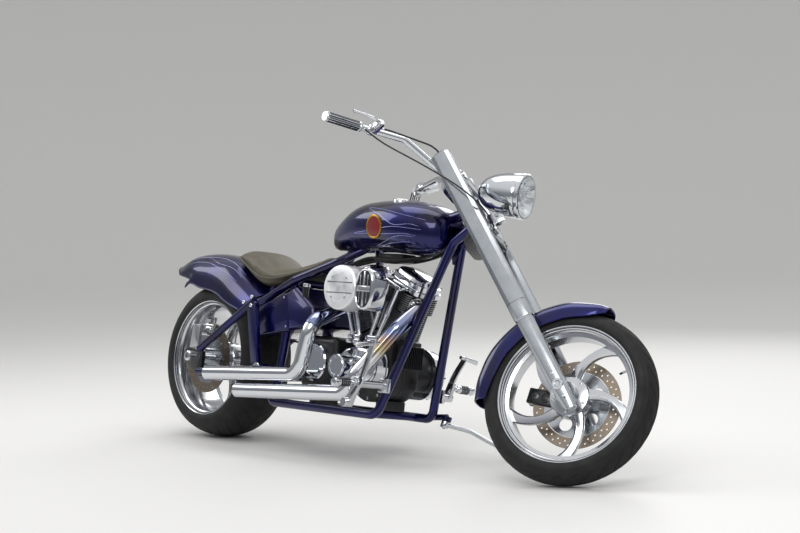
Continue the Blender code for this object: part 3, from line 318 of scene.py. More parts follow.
@dataclass(frozen=True)
class TyreRubber(Finish):
    """Vulcanised rubber: matt, with a faint grey bloom and the mould's fine grain."""

    def dress(self, bench: Bench) -> None:
        """Adds bloom in patches.

        Args:
            bench: the material's nodes.
        """
        place = bench.place()
        bloom = bench.noise(place, 45.0, 5.0)
        bench.feed("Base Color", self.two_tone(bench, bloom, 0.35, 0.75))
        self.roughened(bench, bloom, 0.10)
        self.bumped(bench, bench.noise(place, self.grain_mm))


@dataclass(frozen=True)
class Leather(Finish):
    """Tanned hide: pebbled grain in cells of a few millimetres, with painted shade darkening the colour in
    the creases, and rubbed on top.
    """

    def dress(self, bench: Bench) -> None:
        """Adds pebbles, fine creases darkened by painted shade, and worn patches.

        Args:
            bench: the material's nodes.
        """
        place = bench.place()
        bend = bench.noise(place, 9.0, 2.0)
        shifted = bench.node("VectorMath", {0: place, 1: bend}, operation="ADD").outputs["Vector"]
        links = {"Vector": place, "Scale": MM_PER_M / self.grain_mm, "Randomness": 0.9}
        cells = bench.node("TexVoronoi", links, feature="DISTANCE_TO_EDGE").outputs["Distance"]
        worn = bench.noise(shifted, 85.0, 4.0)
        # painted shade: this mask darkens the hide's colour in the grain's creases and also sinks them in the
        # bump
        crease_and_shade = bench.ramp(cells, [(0.0, 0.45), (0.22, 1.0)])
        hide = self.two_tone(bench, worn, 0.32, 0.72)
        bench.feed("Base Color", bench.mix(1.0, hide, crease_and_shade, "MULTIPLY"))
        self.roughened(bench, worn, 0.12)
        self.bumped(bench, crease_and_shade)


@dataclass(frozen=True)
class TurnedSteel(Finish):
    """Ground brake steel: rings round the hub and a warm tint where the pads run."""

    def dress(self, bench: Bench) -> None:
        """Adds concentric grinding marks in the piece's own XY plane.

        Args:
            bench: the material's nodes.
        """
        place = bench.place((1, 1, 0))
        radius = bench.node("VectorMath", {0: place}, operation="LENGTH").outputs["Value"]
        links = {"W": radius, "Scale": MM_PER_M / self.grain_mm}
        rings = bench.node("TexNoise", links, noise_dimensions="1D").outputs["Fac"]
        self.roughened(bench, rings, 0.10)
        self.bumped(bench, rings, 0.5)
        bench.feed("Base Color", self.two_tone(bench, bench.noise(place, 40.0), 0.35, 0.7))


@dataclass(frozen=True)
class ClearGlass(Finish):
    """Pressed lamp glass: clear, with a slight waviness."""

    def dress(self, bench: Bench) -> None:
        """Lets light through and adds the waviness."""
        bench.shader.inputs["Transmission Weight"].default_value = 1.0
        bench.shader.inputs["IOR"].default_value = GLASS_IOR
        self.bumped(bench, bench.noise(bench.place(), self.grain_mm), 0.1)


@dataclass(frozen=True)
class HeatTint(Finish):
    """Plated pipe tinted by heat: violet blue at the head, then straw, then clean."""

    BANDS = ((0.42, "cdbd94"), (0.52, "b3998a"), (0.62, "8591b8"), (0.80, "a2a6c6"), (1.0, "cfcabd"))

    def dress(self, bench: Bench) -> None:
        """Adds bands that follow the height of the pipe, blurred by a little noise.

        Args:
            bench: the material's nodes.
        """
        place = bench.place()
        wander = bench.noise(place, SMUDGE_MM, 2.0)
        height = bench.node("SeparateXYZ", {0: place}).outputs["Z"]
        mixed = bench.node("Math", {0: wander, 1: 0.06, 2: height}, operation="MULTIPLY_ADD").outputs["Value"]
        share = bench.node("MapRange", {"Value": mixed, "From Min": 0.30, "From Max": 0.66}).outputs["Result"]
        bench.feed("Base Color", bench.ramp(share, [(0.0, self.colour), (0.30, self.colour), *self.BANDS]))
        self.roughened(bench, wander, 0.06)


class Finishes:
    """Every finish on the motorcycle, made once and shared."""

    RECIPES: tuple[Finish, ...] = (
        # Candy paint on a metallic base: blue in the light, violet in the clouds, flakes drawn at 0.9 mm
        PearlPaint("candy_blue_lacquer", "010358", 0.22, 0.75, 0.9, second="07032e", coat=0.6),
        # Plated steel: near mirror, with faint hand smudges
        Finish("chrome_plated_steel", "d3d6da", 0.07, 1.0, 3.0, 0.002),
        # Buffed cast aluminium: a mirror with a little haze
        Finish("polished_cast_aluminium", "d2d4d7", 0.16, 1.0, 2.0, 0.004, second="c4c6ca"),
        # Milled cover with a satin face: bright, its reflections spread wide
        Finish("satin_milled_aluminium", "eeeff0", 0.46, 1.0, 1.2, 0.003, second="e2e3e5"),
        # Milled and belt-brushed billet: lines along the piece, drawn 1.6 mm apart
        BrushedMetal("brushed_billet_aluminium", "b7bbbf", 0.20, 1.0, 1.6, 0.002, second="a6abb0"),
        # Tyre compound: matt black, 0.7 mm mould grain
        TyreRubber("vulcanised_tyre_rubber", "08080a", 0.74, 0.0, 0.7, 0.06, second="111112"),
        # Neoprene belt and hose: smooth black
        Finish("neoprene_rubber", "101011", 0.55, 0.0, 1.2, 0.03),
        # Stoved black paint on steel brackets: deep and glossy
        Finish("black_stove_enamel", "0b0b0d", 0.28, 0.0, 5.0, 0.010, second="131316", coat=0.4),
        # Wrinkle-free black coat over sand castings: the casting's 1.5 mm grain shows through
        Finish("black_coated_casting", "101012", 0.42, 0.1, 1.5, 0.060, second="1b1b1e"),
        # Ground disc steel: fine rings and a warm tint
        TurnedSteel("ground_disc_steel", "857e76", 0.34, 1.0, 0.8, 0.006, second="8f7f6a"),
        # Saddle hide in olive taupe with 2.2 mm pebbles
        Leather("saddle_hide_olive", "4a4538", 0.46, 0.0, 2.2, 0.18, second="6e6752"),
        # Pressed lamp glass: clear, bending what lies behind it
        ClearGlass("pressed_lamp_glass", "f4f7f8", 0.03, 0.0, 6.0, 0.05),
        # Moulded red acrylic: deep red under a hard gloss
        Finish("moulded_red_acrylic", "8c0a0a", 0.12, 0.0, 4.0, 0.01, coat=0.6),
        # Vacuum-metallised reflector: a bright clean mirror
        Finish("metallised_reflector", "e8eaec", 0.08, 1.0, 5.0, 0.01),
        # Enamel of the tank's plain roundel: red glass with depth
        Finish("red_vitreous_enamel", "7d0f0c", 0.22, 0.0, 6.0, 0.01, second="660c0a", coat=0.8),
        # Gilded ring of the roundel: warm and half bright
        Finish("gilded_brass", "c69a45", 0.28, 1.0, 2.0, 0.01, second="a97b2c"),
        # Pinstriping enamel, pale violet, brushed on by hand
        Finish("pinstripe_enamel", "8f92c8", 0.30, 0.0, 4.0, 0.01, second="6a6cae", coat=0.8),
        # Zinc-plated fasteners: dull silver, a little mottled
        Finish("zinc_plated_steel", "b9bdc0", 0.26, 1.0, 1.0, 0.01, second="9da1a5"),
        # Bare milled rims of the fins: bright lines against the black
        Finish("machined_fin_edge", "b4b7ba", 0.30, 1.0, 0.8, 0.01, second="93969a"),
        # Chrome that heat has turned straw and blue near the head
        HeatTint("heat_tinted_chrome", "dfe1e4", 0.09, 1.0, 3.0, 0.002),
        # Soot inside a pipe's mouth, and painted shade: a black disc just inside the tail stands in for the
        # pipe's dark hollow
        Finish("soot_black_bore", "050505", 0.90, 0.0, 1.0, 0.05),
        # Acetal axle cap: off-white and waxy
        Finish("off_white_acetal", "cfcfc8", 0.34, 0.0, 3.0, 0.02, second="bdbdb4"),
    )

    def __init__(self) -> None:
        """Makes every material."""
        self.made = {recipe.name: recipe.make() for recipe in self.RECIPES}

    def __getitem__(self, name: str) -> bpy.types.Material:
        """The material of that name."""
        return self.made[name]


FINISH_OF_SLOT = {
    "blue_paint": "candy_blue_lacquer",
    "chrome": "chrome_plated_steel",
    "polished_aluminium": "polished_cast_aluminium",
    "brushed_aluminium": "brushed_billet_aluminium",
    "tyre_rubber": "vulcanised_tyre_rubber",
    "belt_rubber": "neoprene_rubber",
    "black_paint": "black_stove_enamel",
    "black_engine": "black_coated_casting",
    "brake_disc": "ground_disc_steel",
    "seat_leather": "saddle_hide_olive",
    "lamp_glass": "pressed_lamp_glass",
    "tail_lens": "moulded_red_acrylic",
}
SLOT_OF_FINISH = {finish: slot for slot, finish in FINISH_OF_SLOT.items()}


# Shapes


def bent(points: Iterable[Point], radius: float, steps: int = 8) -> Ring:
    """Turns each corner of a line on a bend radius.

    Args:
        points: the corners and both ends.
        radius: bend radius, made smaller where a leg is too short.
        steps: points in each bend.

    Returns:
        The points of the centre line.
    """
    corners = [Vector(point) for point in points]
    path = [corners[0]]
    for before, corner, after in zip(corners, corners[1:], corners[2:]):
        back = (before - corner).normalized()
        ahead = (after - corner).normalized()
        half = (pi - back.angle(ahead)) / 2
        if half < 1e-3:
            path.append(corner)
            continue
        reach = min(radius * tan(half), 0.49 * (before - corner).length, 0.49 * (after - corner).length)
        centre = corner + (back + ahead).normalized() * (reach / sin(half))
        start, stop = corner + back * reach, corner + ahead * reach
        for step in range(steps + 1):
            chord = start.lerp(stop, step / steps) - centre
            path.append(centre + chord.normalized() * (start - centre).length)
    path.append(corners[-1])
    return path


def flowing(points: Iterable[Point], steps: int = 8) -> Ring:
    """Draws a smooth line through points.

    Args:
        points: what the line passes through.
        steps: pieces between two of them.

    Returns:
        Points of a Catmull-Rom line.
    """
    knots = [Vector(point) for point in points]
    knots = [2 * knots[0] - knots[1], *knots, 2 * knots[-1] - knots[-2]]
    path = []
    for a, b, c, d in zip(knots, knots[1:], knots[2:], knots[3:]):
        for step in range(steps):
            t = step / steps
            path.append(
                0.5 * (
                    2 * b + (c - a) * t + (2 * a - 5 * b + 4 * c - d) * t * t + (3 * b - a - 3 * c + d) * t**3
                )
            )
    path.append(knots[-2])
    return path


def oval(half_a: float, half_b: float, power: float, count: int) -> Flat:
    """Points round a superellipse.

    Args:
        half_a: half its width.
        half_b: half its height.
        power: 2 is an ellipse, more is squarer.
        count: number of points.

    Returns:
        The (a, b) points, anticlockwise.
    """
    points = []
    for i in range(count):
        angle = tau * (i + 0.5) / count
        a = copysign(abs(cos(angle)) ** (2 / power), cos(angle))
        b = copysign(abs(sin(angle)) ** (2 / power), sin(angle))
        points.append((half_a * a, half_b * b))
    return points


def circle(count: int, radius: float = 1.0, first: float = 0.0) -> Flat:
    """Evenly spaced points on a circle, from the angle first on."""
    angles = [first + tau * k / count for k in range(count)]
    return [(radius * cos(a), radius * sin(a)) for a in angles]


def mirrored(points: Flat) -> Flat:
    """The points, then their mirror images across the first axis in reverse order."""
    return [*points, *[(a, -b) for a, b in reversed(points)]]


def arc(centre: Sequence[float], radius: float, start: float, stop: float, steps: int) -> Flat:
    """Points on an arc.

    Args:
        centre: its (x, z).
        radius: its radius.
        start: first angle in degrees.
        stop: last angle in degrees.
        steps: pieces between them.

    Returns:
        The points, both ends included.
    """
    angles = [radians(start + (stop - start) * i / steps) for i in range(steps + 1)]
    return [(centre[0] + radius * cos(a), centre[1] + radius * sin(a)) for a in angles]


def turn_to(along: Point, origin: Point = (0, 0, 0)) -> Matrix:
    """A frame whose local Z points along a direction.

    Args:
        along: the direction.
        origin: the frame's place.

    Returns:
        The 4x4 matrix.
    """
    return Matrix.Translation(origin) @ Vector(along).to_track_quat("Z", "Y").to_matrix().to_4x4()


@dataclass
class Piece:
    """One visible piece, gathered from shapes in the frame that carries it.

    Args:
        name: name of the object.
        frame: matrix of its frame.
        body: rigid body that it rides on.
        finish: finish of the shapes until use() names another.
        slot: the record's material slot; not used.
        recipes: every finish by name.
    """

    name: str
    frame: Matrix
    body: Body
    finish: str
    slot: str
    recipes: Finishes
    points: list[Vector] = field(default_factory=list)
    faces: list[tuple[int, ...]] = field(default_factory=list)
    marks: list[int] = field(default_factory=list)
    finishes: list[str] = field(default_factory=list)

    def __post_init__(self) -> None:
        """Starts with the piece's own finish."""
        self.finishes.append(self.finish)

    def use(self, finish: str) -> Piece:
        """The shapes that follow get this finish.

        Args:
            finish: name in Finishes.

        Returns:
            The piece itself.
        """
        self.finish = finish
        if finish not in self.finishes:
            self.finishes.append(finish)
        return self

    def add(
        self, points: Iterable[Point], faces: Iterable[Sequence[int]], place: Matrix | None = None
    ) -> None:
        """Adds a mesh.

        Args:
            points: its vertices.
            faces: vertex numbers of each face.
            place: matrix from its own coordinates to the piece's.
        """
        first = len(self.points)
        mark = self.finishes.index(self.finish)
        for point in points:
            spot = Vector(point)
            self.points.append(place @ spot if place else spot)
        for face in faces:
            self.faces.append(tuple(first + i for i in face))
            self.marks.append(mark)

    def add_work(self, work: bmesh.types.BMesh, place: Matrix | None = None) -> None:
        """Adds a bmesh and frees it.

        Args:
            work: the bmesh.
            place: matrix from its own coordinates to the piece's.
        """
        work.verts.index_update()
        points = [vertex.co.copy() for vertex in work.verts]
        faces = [[vertex.index for vertex in face.verts] for face in work.faces]
        work.free()
        self.add(points, faces, place)

    def loft(
        self, rings: Sequence[Iterable[Point]], place: Matrix | None = None, caps: bool = True,
        ring: bool = False
    ) -> None:
        """Adds a skin through rings with the same number of points.

        Args:
            rings: the rings in order.
            place: matrix from their coordinates to the piece's.
            caps: whether both ends are closed.
            ring: whether the last ring joins the first.
        """
        rows = [[Vector(point) for point in row] for row in rings]
        count = len(rows[0])
        faces = []
        for low in range(len(rows) if ring else len(rows) - 1):
            high = (low + 1) % len(rows)
            for i in range(count):
                j = (i + 1) % count
                faces.append((low * count + i, low * count + j, high * count + j, high * count + i))
        if caps and not ring:
            last = (len(rows) - 1) * count
            faces.append(tuple(reversed(range(count))))
            faces.append(tuple(range(last, last + count)))
        self.add([point for row in rows for point in row], faces, place)

    def lathe(
        self, profile: Sequence[tuple[float, float]], place: Matrix | None = None, steps: int = 48,
        closed: bool = False
    ) -> None:
        """Turns a profile about local Z.

        Args:
            profile: (radius, height) points; a radius of nought closes an end.
            place: matrix from its coordinates to the piece's.
            steps: sides of the turned shape.
            closed: whether the profile's end joins its start, as in a ring.
        """
        rings = [[(a, b, z) for a, b in circle(steps, max(r, AXIS_GAP))] for r, z in profile]
        self.loft(rings, place, ring=closed)

    def rod(
        self, start: Point, end: Point, radius: float, end_radius: float | None = None, sides: int = 28,
        edge: float = 0.001
    ) -> None:
        """Adds a turned bar with chamfered ends.

        Args:
            start: middle of one end.
            end: middle of the other.
            radius: radius at the start.
            end_radius: radius at the end, if it tapers.
            sides: its sides.
            edge: chamfer.
        """
        along = Vector(end) - Vector(start)
        far = radius if end_radius is None else end_radius
        edge = min(edge, 0.3 * radius, 0.3 * far, 0.3 * along.length)
        profile = [(radius - edge, 0), (radius, edge), (far, along.length - edge), (far - edge, along.length)]
        self.lathe(profile, turn_to(along, start), sides)

    def tube(self, path: Sequence[Point], radius: float | Callable[[float], float], sides: int = 20) -> None:
        """Sweeps a round section along a line.

        Args:
            path: points of the centre line.
            radius: the radius, or the radius at a share of the way from 0 to 1.
            sides: sides of the section.
        """
        spots = [Vector(point) for point in path]
        ways = [(b - a).normalized() for a, b in zip(spots, spots[1:])]
        tangents = [ways[0]] + [(a + b).normalized() for a, b in zip(ways, ways[1:])] + [ways[-1]]
        normal = tangents[0].orthogonal().normalized()
        rings = []
        for i, (spot, tangent) in enumerate(zip(spots, tangents)):
            normal = (normal - tangent * normal.dot(tangent)).normalized()
            across = tangent.cross(normal)
            size = radius(i / (len(spots) - 1)) if callable(radius) else radius
            rings.append([spot + (normal * a + across * b) * size for a, b in circle(sides)])
        self.loft(rings)

    def box(
        self, size: Point, centre: Point = (0, 0, 0), edge: float = 0.002, place: Matrix | None = None,
        segments: int = 2
    ) -> None:
        """Adds a block with rounded edges.

        Args:
            size: its size.
            centre: its middle.
            edge: radius of its edges.
            place: matrix from its coordinates to the piece's.
            segments: steps round an edge.
        """
        work = bmesh.new()
        bmesh.ops.create_cube(work, size=1.0)
        bmesh.ops.scale(work, vec=size, verts=work.verts)
        bmesh.ops.bevel(
            work, geom=work.edges, offset=min(edge, 0.45 * min(size)), segments=segments, affect="EDGES",
            profile=0.5
        )
        bmesh.ops.translate(work, vec=centre, verts=work.verts)
        self.add_work(work, place)

    def plate(
        self, outline: Sequence[tuple[float, float]], thickness: float, place: Matrix | None = None,
        edge: float = 0.001
    ) -> None:
        """Adds a flat plate of an outline, centred on local Z 0, with chamfered rims.

        Args:
            outline: its (x, y) corners.
            thickness: its thickness.
            place: matrix from its coordinates to the piece's.
            edge: chamfer.
        """
        work = bmesh.new()
        face = work.faces.new([work.verts.new((x, y, -thickness / 2)) for x, y in outline])
        made = bmesh.ops.extrude_face_region(work, geom=[face])["geom"]
        tops = [item for item in made if isinstance(item, bmesh.types.BMVert)]
        bmesh.ops.translate(work, vec=(0, 0, thickness), verts=tops)
        bmesh.ops.recalc_face_normals(work, faces=work.faces)
        rims = [e for e in work.edges if abs(e.verts[0].co.z - e.verts[1].co.z) < 1e-7]
        bmesh.ops.bevel(work, geom=rims, offset=edge, segments=2, affect="EDGES", profile=0.5)
        self.add_work(work, place)

    def bolt(self, spot: Point, along: Point, radius: float = 0.006, height: float = 0.005) -> None:
        """Adds a domed hexagon-socket screw head.

        Args:
            spot: middle of its seat.
            along: way that it points.
            radius: radius of the head.
            height: height of the head.
        """
        place = turn_to(along, spot)
        well = radius * 0.5
        profile = [(radius, 0), (radius, height * 0.55), (radius * 0.82, height * 0.9), (well * 1.15, height)]
        profile += [(well, height * 0.95), (well, height * 0.45), (0, height * 0.40)]
        self.lathe(profile, place, 18)

    def nut(self, spot: Point, along: Point, radius: float = 0.009, height: float = 0.007) -> None:
        """Adds a chamfered hexagon nut or bolt head.

        Args:
            spot: middle of its seat.
            along: way that it points.
            radius: half its width over corners.
            height: its height.
        """
        place = turn_to(along, spot)
        profile = [
            (radius * 0.99, 0), (radius, height * 0.1), (radius, height * 0.85), (radius * 0.88, height),
            (0, height)
        ]
        self.lathe(profile, place, 6)

    def done(self, *nodes: str, sharp: float = 32.0) -> bpy.types.Object:
        """Makes the object, hangs it on its body and hides the nodes that it stands for.

        Args:
            nodes: CAD nodes that it replaces.
            sharp: angle in degrees above which an edge stays sharp.

        Returns:
            The object.
        """
        mesh = bpy.data.meshes.new(self.name)
        mesh.from_pydata(self.points, [], self.faces)
        mesh.polygons.foreach_set("material_index", self.marks)
        work = bmesh.new()
        work.from_mesh(mesh)
        bmesh.ops.recalc_face_normals(work, faces=work.faces)
        work.to_mesh(mesh)
        work.free()
        own = mesh.attributes.new(OWN_PLACE, "FLOAT_VECTOR", "POINT")
        own.data.foreach_set("vector", [value for point in self.points for value in point])
        mesh.transform(self.frame)
        for finish in self.finishes:
            mesh.materials.append(self.recipes[finish])
        mesh.shade_smooth()
        mesh.set_sharp_from_angle(angle=radians(sharp))
        piece = bpy.data.objects.new(self.name, mesh)
        bpy.context.scene.collection.objects.link(piece)
        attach(piece, self.body.value)
        if nodes:
            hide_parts(*nodes)
        return piece


# Frames that carry the pieces


class Stance:
    """Where the chassis, fork and wheels stand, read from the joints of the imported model."""

    def __init__(self, joints: Sequence[dict]) -> None:
        """Works out each frame.

        Args:
            joints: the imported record's joints.
        """
        named = {joint["name"]: joint for joint in joints}
        steering = named["steering"]
        front = named["front_wheel_spin"]
        rear = named["rear_wheel_spin"]
        up = Vector(steering["axis"]).normalized()
        across = Vector(rear["axis"]).normalized()
        ahead = across.cross(up)
        forward = cos(RAKE) * ahead - sin(RAKE) * up
        upward = sin(RAKE) * ahead + cos(RAKE) * up
        hub = Vector(rear["pos_m"])
        self.chassis = self.frame(forward, across, upward, hub - REAR_TYRE_RADIUS * upward)
        turned = Vector(front["axis"]).normalized()
        self.fork = self.frame(turned.cross(up), turned, up, Vector(steering["pos_m"]))
        lying = Matrix.Rotation(radians(-90), 4, "X")
        self.rear_hub = Matrix.Translation(hub) @ self.chassis.to_3x3().to_4x4() @ lying
        self.front_hub = Matrix.Translation(front["pos_m"]) @ self.fork.to_3x3().to_4x4() @ lying
        self.stand = self.frame(forward, across, upward, Vector(named["side_stand_fold"]["pos_m"]))

    @staticmethod
    def frame(x: Vector, y: Vector, z: Vector, origin: Vector) -> Matrix:
        """A 4x4 matrix of three axes and an origin."""
        return Matrix.Translation(origin) @ Matrix((x, y, z)).transposed().to_4x4()


@dataclass
class Shop:
    """What every sub-assembly is built with.

    Args:
        stance: the frames.
        finishes: the finishes.
    """

    stance: Stance
    finishes: Finishes

    def piece(self, name: str, frame: Matrix, body: Body, finish: str, slot: str = "") -> Piece:
        """Starts a piece.

        Args:
            name: its name.
            frame: its frame.
            body: the body that it rides on.
            finish: its first finish.
            slot: its material slot, where that isn't the finish's own.

        Returns:
            The piece, still empty.
        """
        return Piece(name, frame, body, finish, slot or SLOT_OF_FINISH[finish], self.finishes)

    def chassis(self, name: str, finish: str, slot: str = "") -> Piece:
        """Starts a piece on the chassis."""
        return self.piece(name, self.stance.chassis, Body.CHASSIS, finish, slot)

    def fork(self, name: str, finish: str, slot: str = "") -> Piece:
        """Starts a piece on the turned fork."""
        return self.piece(name, self.stance.fork, Body.FORK, finish, slot)


def between(stations: Sequence[Sequence[float]], steps: int) -> list[tuple[float, float, float, float]]:
    """Fills in between stations of (x, half-width, low, high).

    Args:
        stations: the stations.
        steps: rows from one to the next.

    Returns:
        Rows of (x, half-width, middle height, half-height) on smooth lines.
    """
    widths = flowing([(x, half, 0) for x, half, _, _ in stations], steps)
    heights = flowing([(low, high, 0) for _, _, low, high in stations], steps)
    return [(w.x, w.y, (h.x + h.y) / 2, (h.y - h.x) / 2) for w, h in zip(widths, heights)]


def rounded(outline: Sequence[tuple[float, float]], radius: float, steps: int = 5) -> Flat:
    """Rounds the corners of a closed flat outline.

    Args:
        outline: its (x, y) corners.
        radius: corner radius.
        steps: points in each corner.

    Returns:
        The rounded outline.
    """
    corners = [Vector((*spot, 0)) for spot in outline]
    points = []
    for before, corner, after in zip(corners[-1:] + corners[:-1], corners, corners[1:] + corners[:1]):
        turn = bent([before.lerp(corner, 0.5), corner, corner.lerp(after, 0.5)], radius, steps)
        points += [(spot.x, spot.y) for spot in turn[1:-1]]
    return points


def side_sheet(
    rows: Sequence[Sequence[Vector]], thickness: float
) -> tuple[list[Vector], list[tuple[int, ...]]]:
    """Closes a curved sheet of the given thickness on rows of points.

    Args:
        rows: rows of points over the outer face.
        thickness: how far the inner face lies behind it.

    Returns:
        Points and faces of the closed sheet.
    """
    high, wide = len(rows), len(rows[0])
    inner = []
    for r in range(high):
        for c in range(wide):
            down = rows[min(r + 1, high - 1)][c] - rows[max(r - 1, 0)][c]
            over = rows[r][min(c + 1, wide - 1)] - rows[r][max(c - 1, 0)]
            inner.append(rows[r][c] - down.cross(over).normalized() * thickness)
    points = [spot for row in rows for spot in row] + inner
    shift = high * wide
    faces = []
    for r in range(high - 1):
        for c in range(wide - 1):
            first = r * wide + c
            quad = (first, first + 1, first + wide + 1, first + wide)
            faces.append(quad)
            faces.append(tuple(shift + i for i in reversed(quad)))
    border = [c for c in range(wide)] + [r * wide + wide - 1 for r in range(1, high)]
    border += [(high - 1) * wide + c for c in range(wide - 2, -1, -1)]
    border += [r * wide for r in range(high - 2, 0, -1)]
    for a, b in zip(border, border[1:] + border[:1]):
        faces.append((b, a, shift + a, shift + b))
    return points, faces


@dataclass(frozen=True)
class FenderShape:
    """An arched fender: a line of stations with a cross-section between them.

    Args:
        stations: (x, z, way out in degrees, half-width, skirt) along its crown.
        side_power: how square its sides are.
        drop_power: how flat its crown is.
    """

    stations: tuple[tuple[float, float, float, float, float], ...]
    side_power: float
    drop_power: float

    def rows(self, along: int = 8, across: int = 36) -> list[Ring]:
        """Points over the fender.

        Args:
            along: rows between two stations.
            across: pieces across it.

        Returns:
            Rows of points from its tail to its front, each from right to left.
        """
        table = [(x, z, out) for x, z, out, _, _ in self.stations]
        sizes = [(half, skirt, 0) for _, _, _, half, skirt in self.stations]
        rows = []
        for place, size in zip(flowing(table, along), flowing(sizes, along)):
            out = radians(place.z)
            way = Vector((cos(out), 0, sin(out)))
            row = []
            for i in range(across + 1):
                angle = radians(-90 + 180 * i / across)
                side = copysign(abs(sin(angle)) ** self.side_power, sin(angle))
                drop = 1 - abs(cos(angle)) ** self.drop_power
                row.append(Vector((place.x, size.x * side, place.y)) - way * drop * size.y)
            rows.append(row)
        return rows


@dataclass
class Assembly:
    """A sub-assembly of the motorcycle; its build method makes its pieces.

    Args:
        shop: the frames and finishes that it is built with.
    """

    shop: Shop


# Wheels, in the hub's frame: local Z towards the rider's left


@dataclass(frozen=True)
class WheelSize:
    """Sizes of one wheel, in metres.

    Args:
        radius: outer radius of the tyre.
        width: width of the tyre.
        lip: radius of the rim's lip.
        rim: width of the rim.
        spoke_half: half the spokes' thickness at the hub.
        hub_half: half the hub's length.
        turn: angle of the first spoke.
    """

    radius: float
    width: float
    lip: float
    rim: float
    spoke_half: float
    hub_half: float
    turn: float


FRONT_WHEEL = WheelSize(FRONT_TYRE_RADIUS - 0.0020, 0.126, 0.2565, 0.112, 0.017, 0.073, 0.30)
REAR_WHEEL = WheelSize(REAR_TYRE_RADIUS - 0.0005, 0.244, 0.2435, 0.225, 0.021, 0.150, 0.90)


@dataclass
class Wheel:
    """A cast wheel with five swept spokes and its tyre.

    Args:
        shop: where it is built.
        name: front or rear.
        size: its sizes.
        frame: the hub's frame.
        body: the body that turns.
    """

    shop: Shop
    name: str
    size: WheelSize
    frame: Matrix
    body: Body

    SIDEWALL_RISE = 0.013
    SPOKES = 5
    BUTTONS = 10
    SWEEP = radians(34)
    STEPS = 120

    def piece(self, word: str, finish: str) -> Piece:
        """Starts a piece of this wheel."""
        return self.shop.piece(f"{self.name}_{word}", self.frame, self.body, finish)

    def tyre(self) -> None:
        """The tyre: an oval carcass with beads, a moulded step and sunk road grooves."""
        size = self.size
        centre = size.lip + self.SIDEWALL_RISE
        rise = size.radius - centre
        half = size.width / 2
        bead = size.rim / 2 - 0.0063
        reach = acos(-(self.SIDEWALL_RISE - 0.004) / rise)
        rows = 44
        section = []
        for i in range(rows + 1):
            angle = reach * (2 * i / rows - 1)
            step = 0.0012 if 0.62 < abs(angle) / reach < 0.70 else 0.0
            section.append(
                (centre + (rise - step) * cos(angle), (half - step) * sin(angle), abs(angle) / reach)
            )
        rings = []
        count = 360
        for k in range(count):
            turn = tau * k / count
            ring = [(size.lip - 0.0125, -bead)]
            for r, y, share in section:
                ring.append((r - self.groove(turn, share, y > 0), y))
            ring.append((size.lip - 0.0125, bead))
            rings.append([(r * cos(turn), r * sin(turn), y) for r, y in ring])
        tyre = self.piece("road_tyre", "vulcanised_tyre_rubber")
        tyre.loft(rings, ring=True)
        tyre.done(f"{self.name}_tyre", sharp=40)

    def groove(self, turn: float, share: float, left: bool) -> float:
        """Depth of the road tread at a place on the tyre.

        Args:
            turn: angle round the wheel.
            share: from 0 in the middle of the tread to 1 at the bead.
            left: which side of the middle.

        Returns:
            How far the surface is sunk.
        """
        if share > 0.50:
            return 0.0
        lobes = 30
        phase = (turn * lobes / tau + share * 2.6 + (0.5 if left else 0.0)) % 1.0
        sweep = 0.0034 if 0.08 < share < 0.46 and phase < 0.17 else 0.0
        return max(sweep, 0.003 if share < 0.024 else 0.0)

    def barrel(self, rim: Piece) -> None:
        """The rim's barrel: rolled lips, stepped inside face and a drop centre.

        Args:
            rim: the piece that it joins.
        """
        size = self.size
        half = size.rim / 2
        side = [
            (size.lip - 0.016, half - 0.006),
            (size.lip - 0.002, half - 0.006),
            (size.lip, half - 0.004),
            (size.lip, half - 0.001),
            (size.lip - 0.001, half),
            (size.lip - 0.007, half),
            (size.lip - 0.0095, half - 0.002),
            (size.lip - 0.0115, half - 0.014),
            (size.lip - 0.0205, half - 0.019),
            (size.lip - 0.0235, half - 0.024),
        ]
        drop = (size.lip - 0.036, max(half - 0.060, 0.028))
        shell = mirrored([*side, drop])
        over = [
            (size.lip - 0.028, -drop[1]), (size.lip - 0.016, -half + 0.030), (size.lip - 0.016, -half + 0.006)
        ]
        rim.lathe([*shell, *mirrored(over)[1:-1]], steps=self.STEPS, closed=True)

    def spokes(self, rim: Piece) -> None:
        """Five swept blades: wide and thick at the hub, with a sharp ridge and a milled flank.

        Args:
            rim: the piece that they join.
        """
        size = self.size
        reach = size.lip - 0.028
        start = 0.046
        steps = 22
        front = [(-1.0, 0.35), (-0.86, 0.72), (0.30, 1.0), (0.46, 1.0), (0.92, 0.55), (1.0, 0.30)]
        section = [*front, *[(a, -z) for a, z in reversed(front)]]
        for k in range(self.SPOKES):
            turn = size.turn + tau * k / self.SPOKES
            rings = []
            for i in range(steps + 1):
                share = i / steps
                radius = start + (reach - start) * share
                angle = turn + self.SWEEP * share**1.5
                half = 0.0235 - 0.0065 * sin(share * pi) + 0.011 * share**6
                thick = size.spoke_half * (1.0 - 0.18 * share) + 0.004 * (1 - share) ** 2
                middle = Vector((cos(angle), sin(angle), 0))
                across = Vector((-middle.y, middle.x, 0))
                spot = middle * radius
                rings.append([spot + across * (a * half) + Vector((0, 0, z * thick)) for a, z in section])
            rim.loft(rings)

    def hub(self, rim: Piece) -> None:
        """The hub: a flanged boss with a ring of screws and a bearing cap.

        Args:
            rim: the piece that it joins.
        """
        face = self.size.spoke_half + 0.007
        end = self.size.hub_half
        flange = [
            (0.012, end), (0.036, end), (0.039, end - 0.003), (0.040, face + 0.010), (0.052, face + 0.004)
        ]
        flange += [(0.070, face), (0.073, face - 0.004)]
        rim.lathe(mirrored(flange), steps=64, closed=True)
        for side in (1, -1):
            for a, b in circle(self.SPOKES, 0.060, self.size.turn + 0.62):
                rim.bolt((a, b, side * (face + 0.001)), (0, 0, side), 0.0055, 0.004)

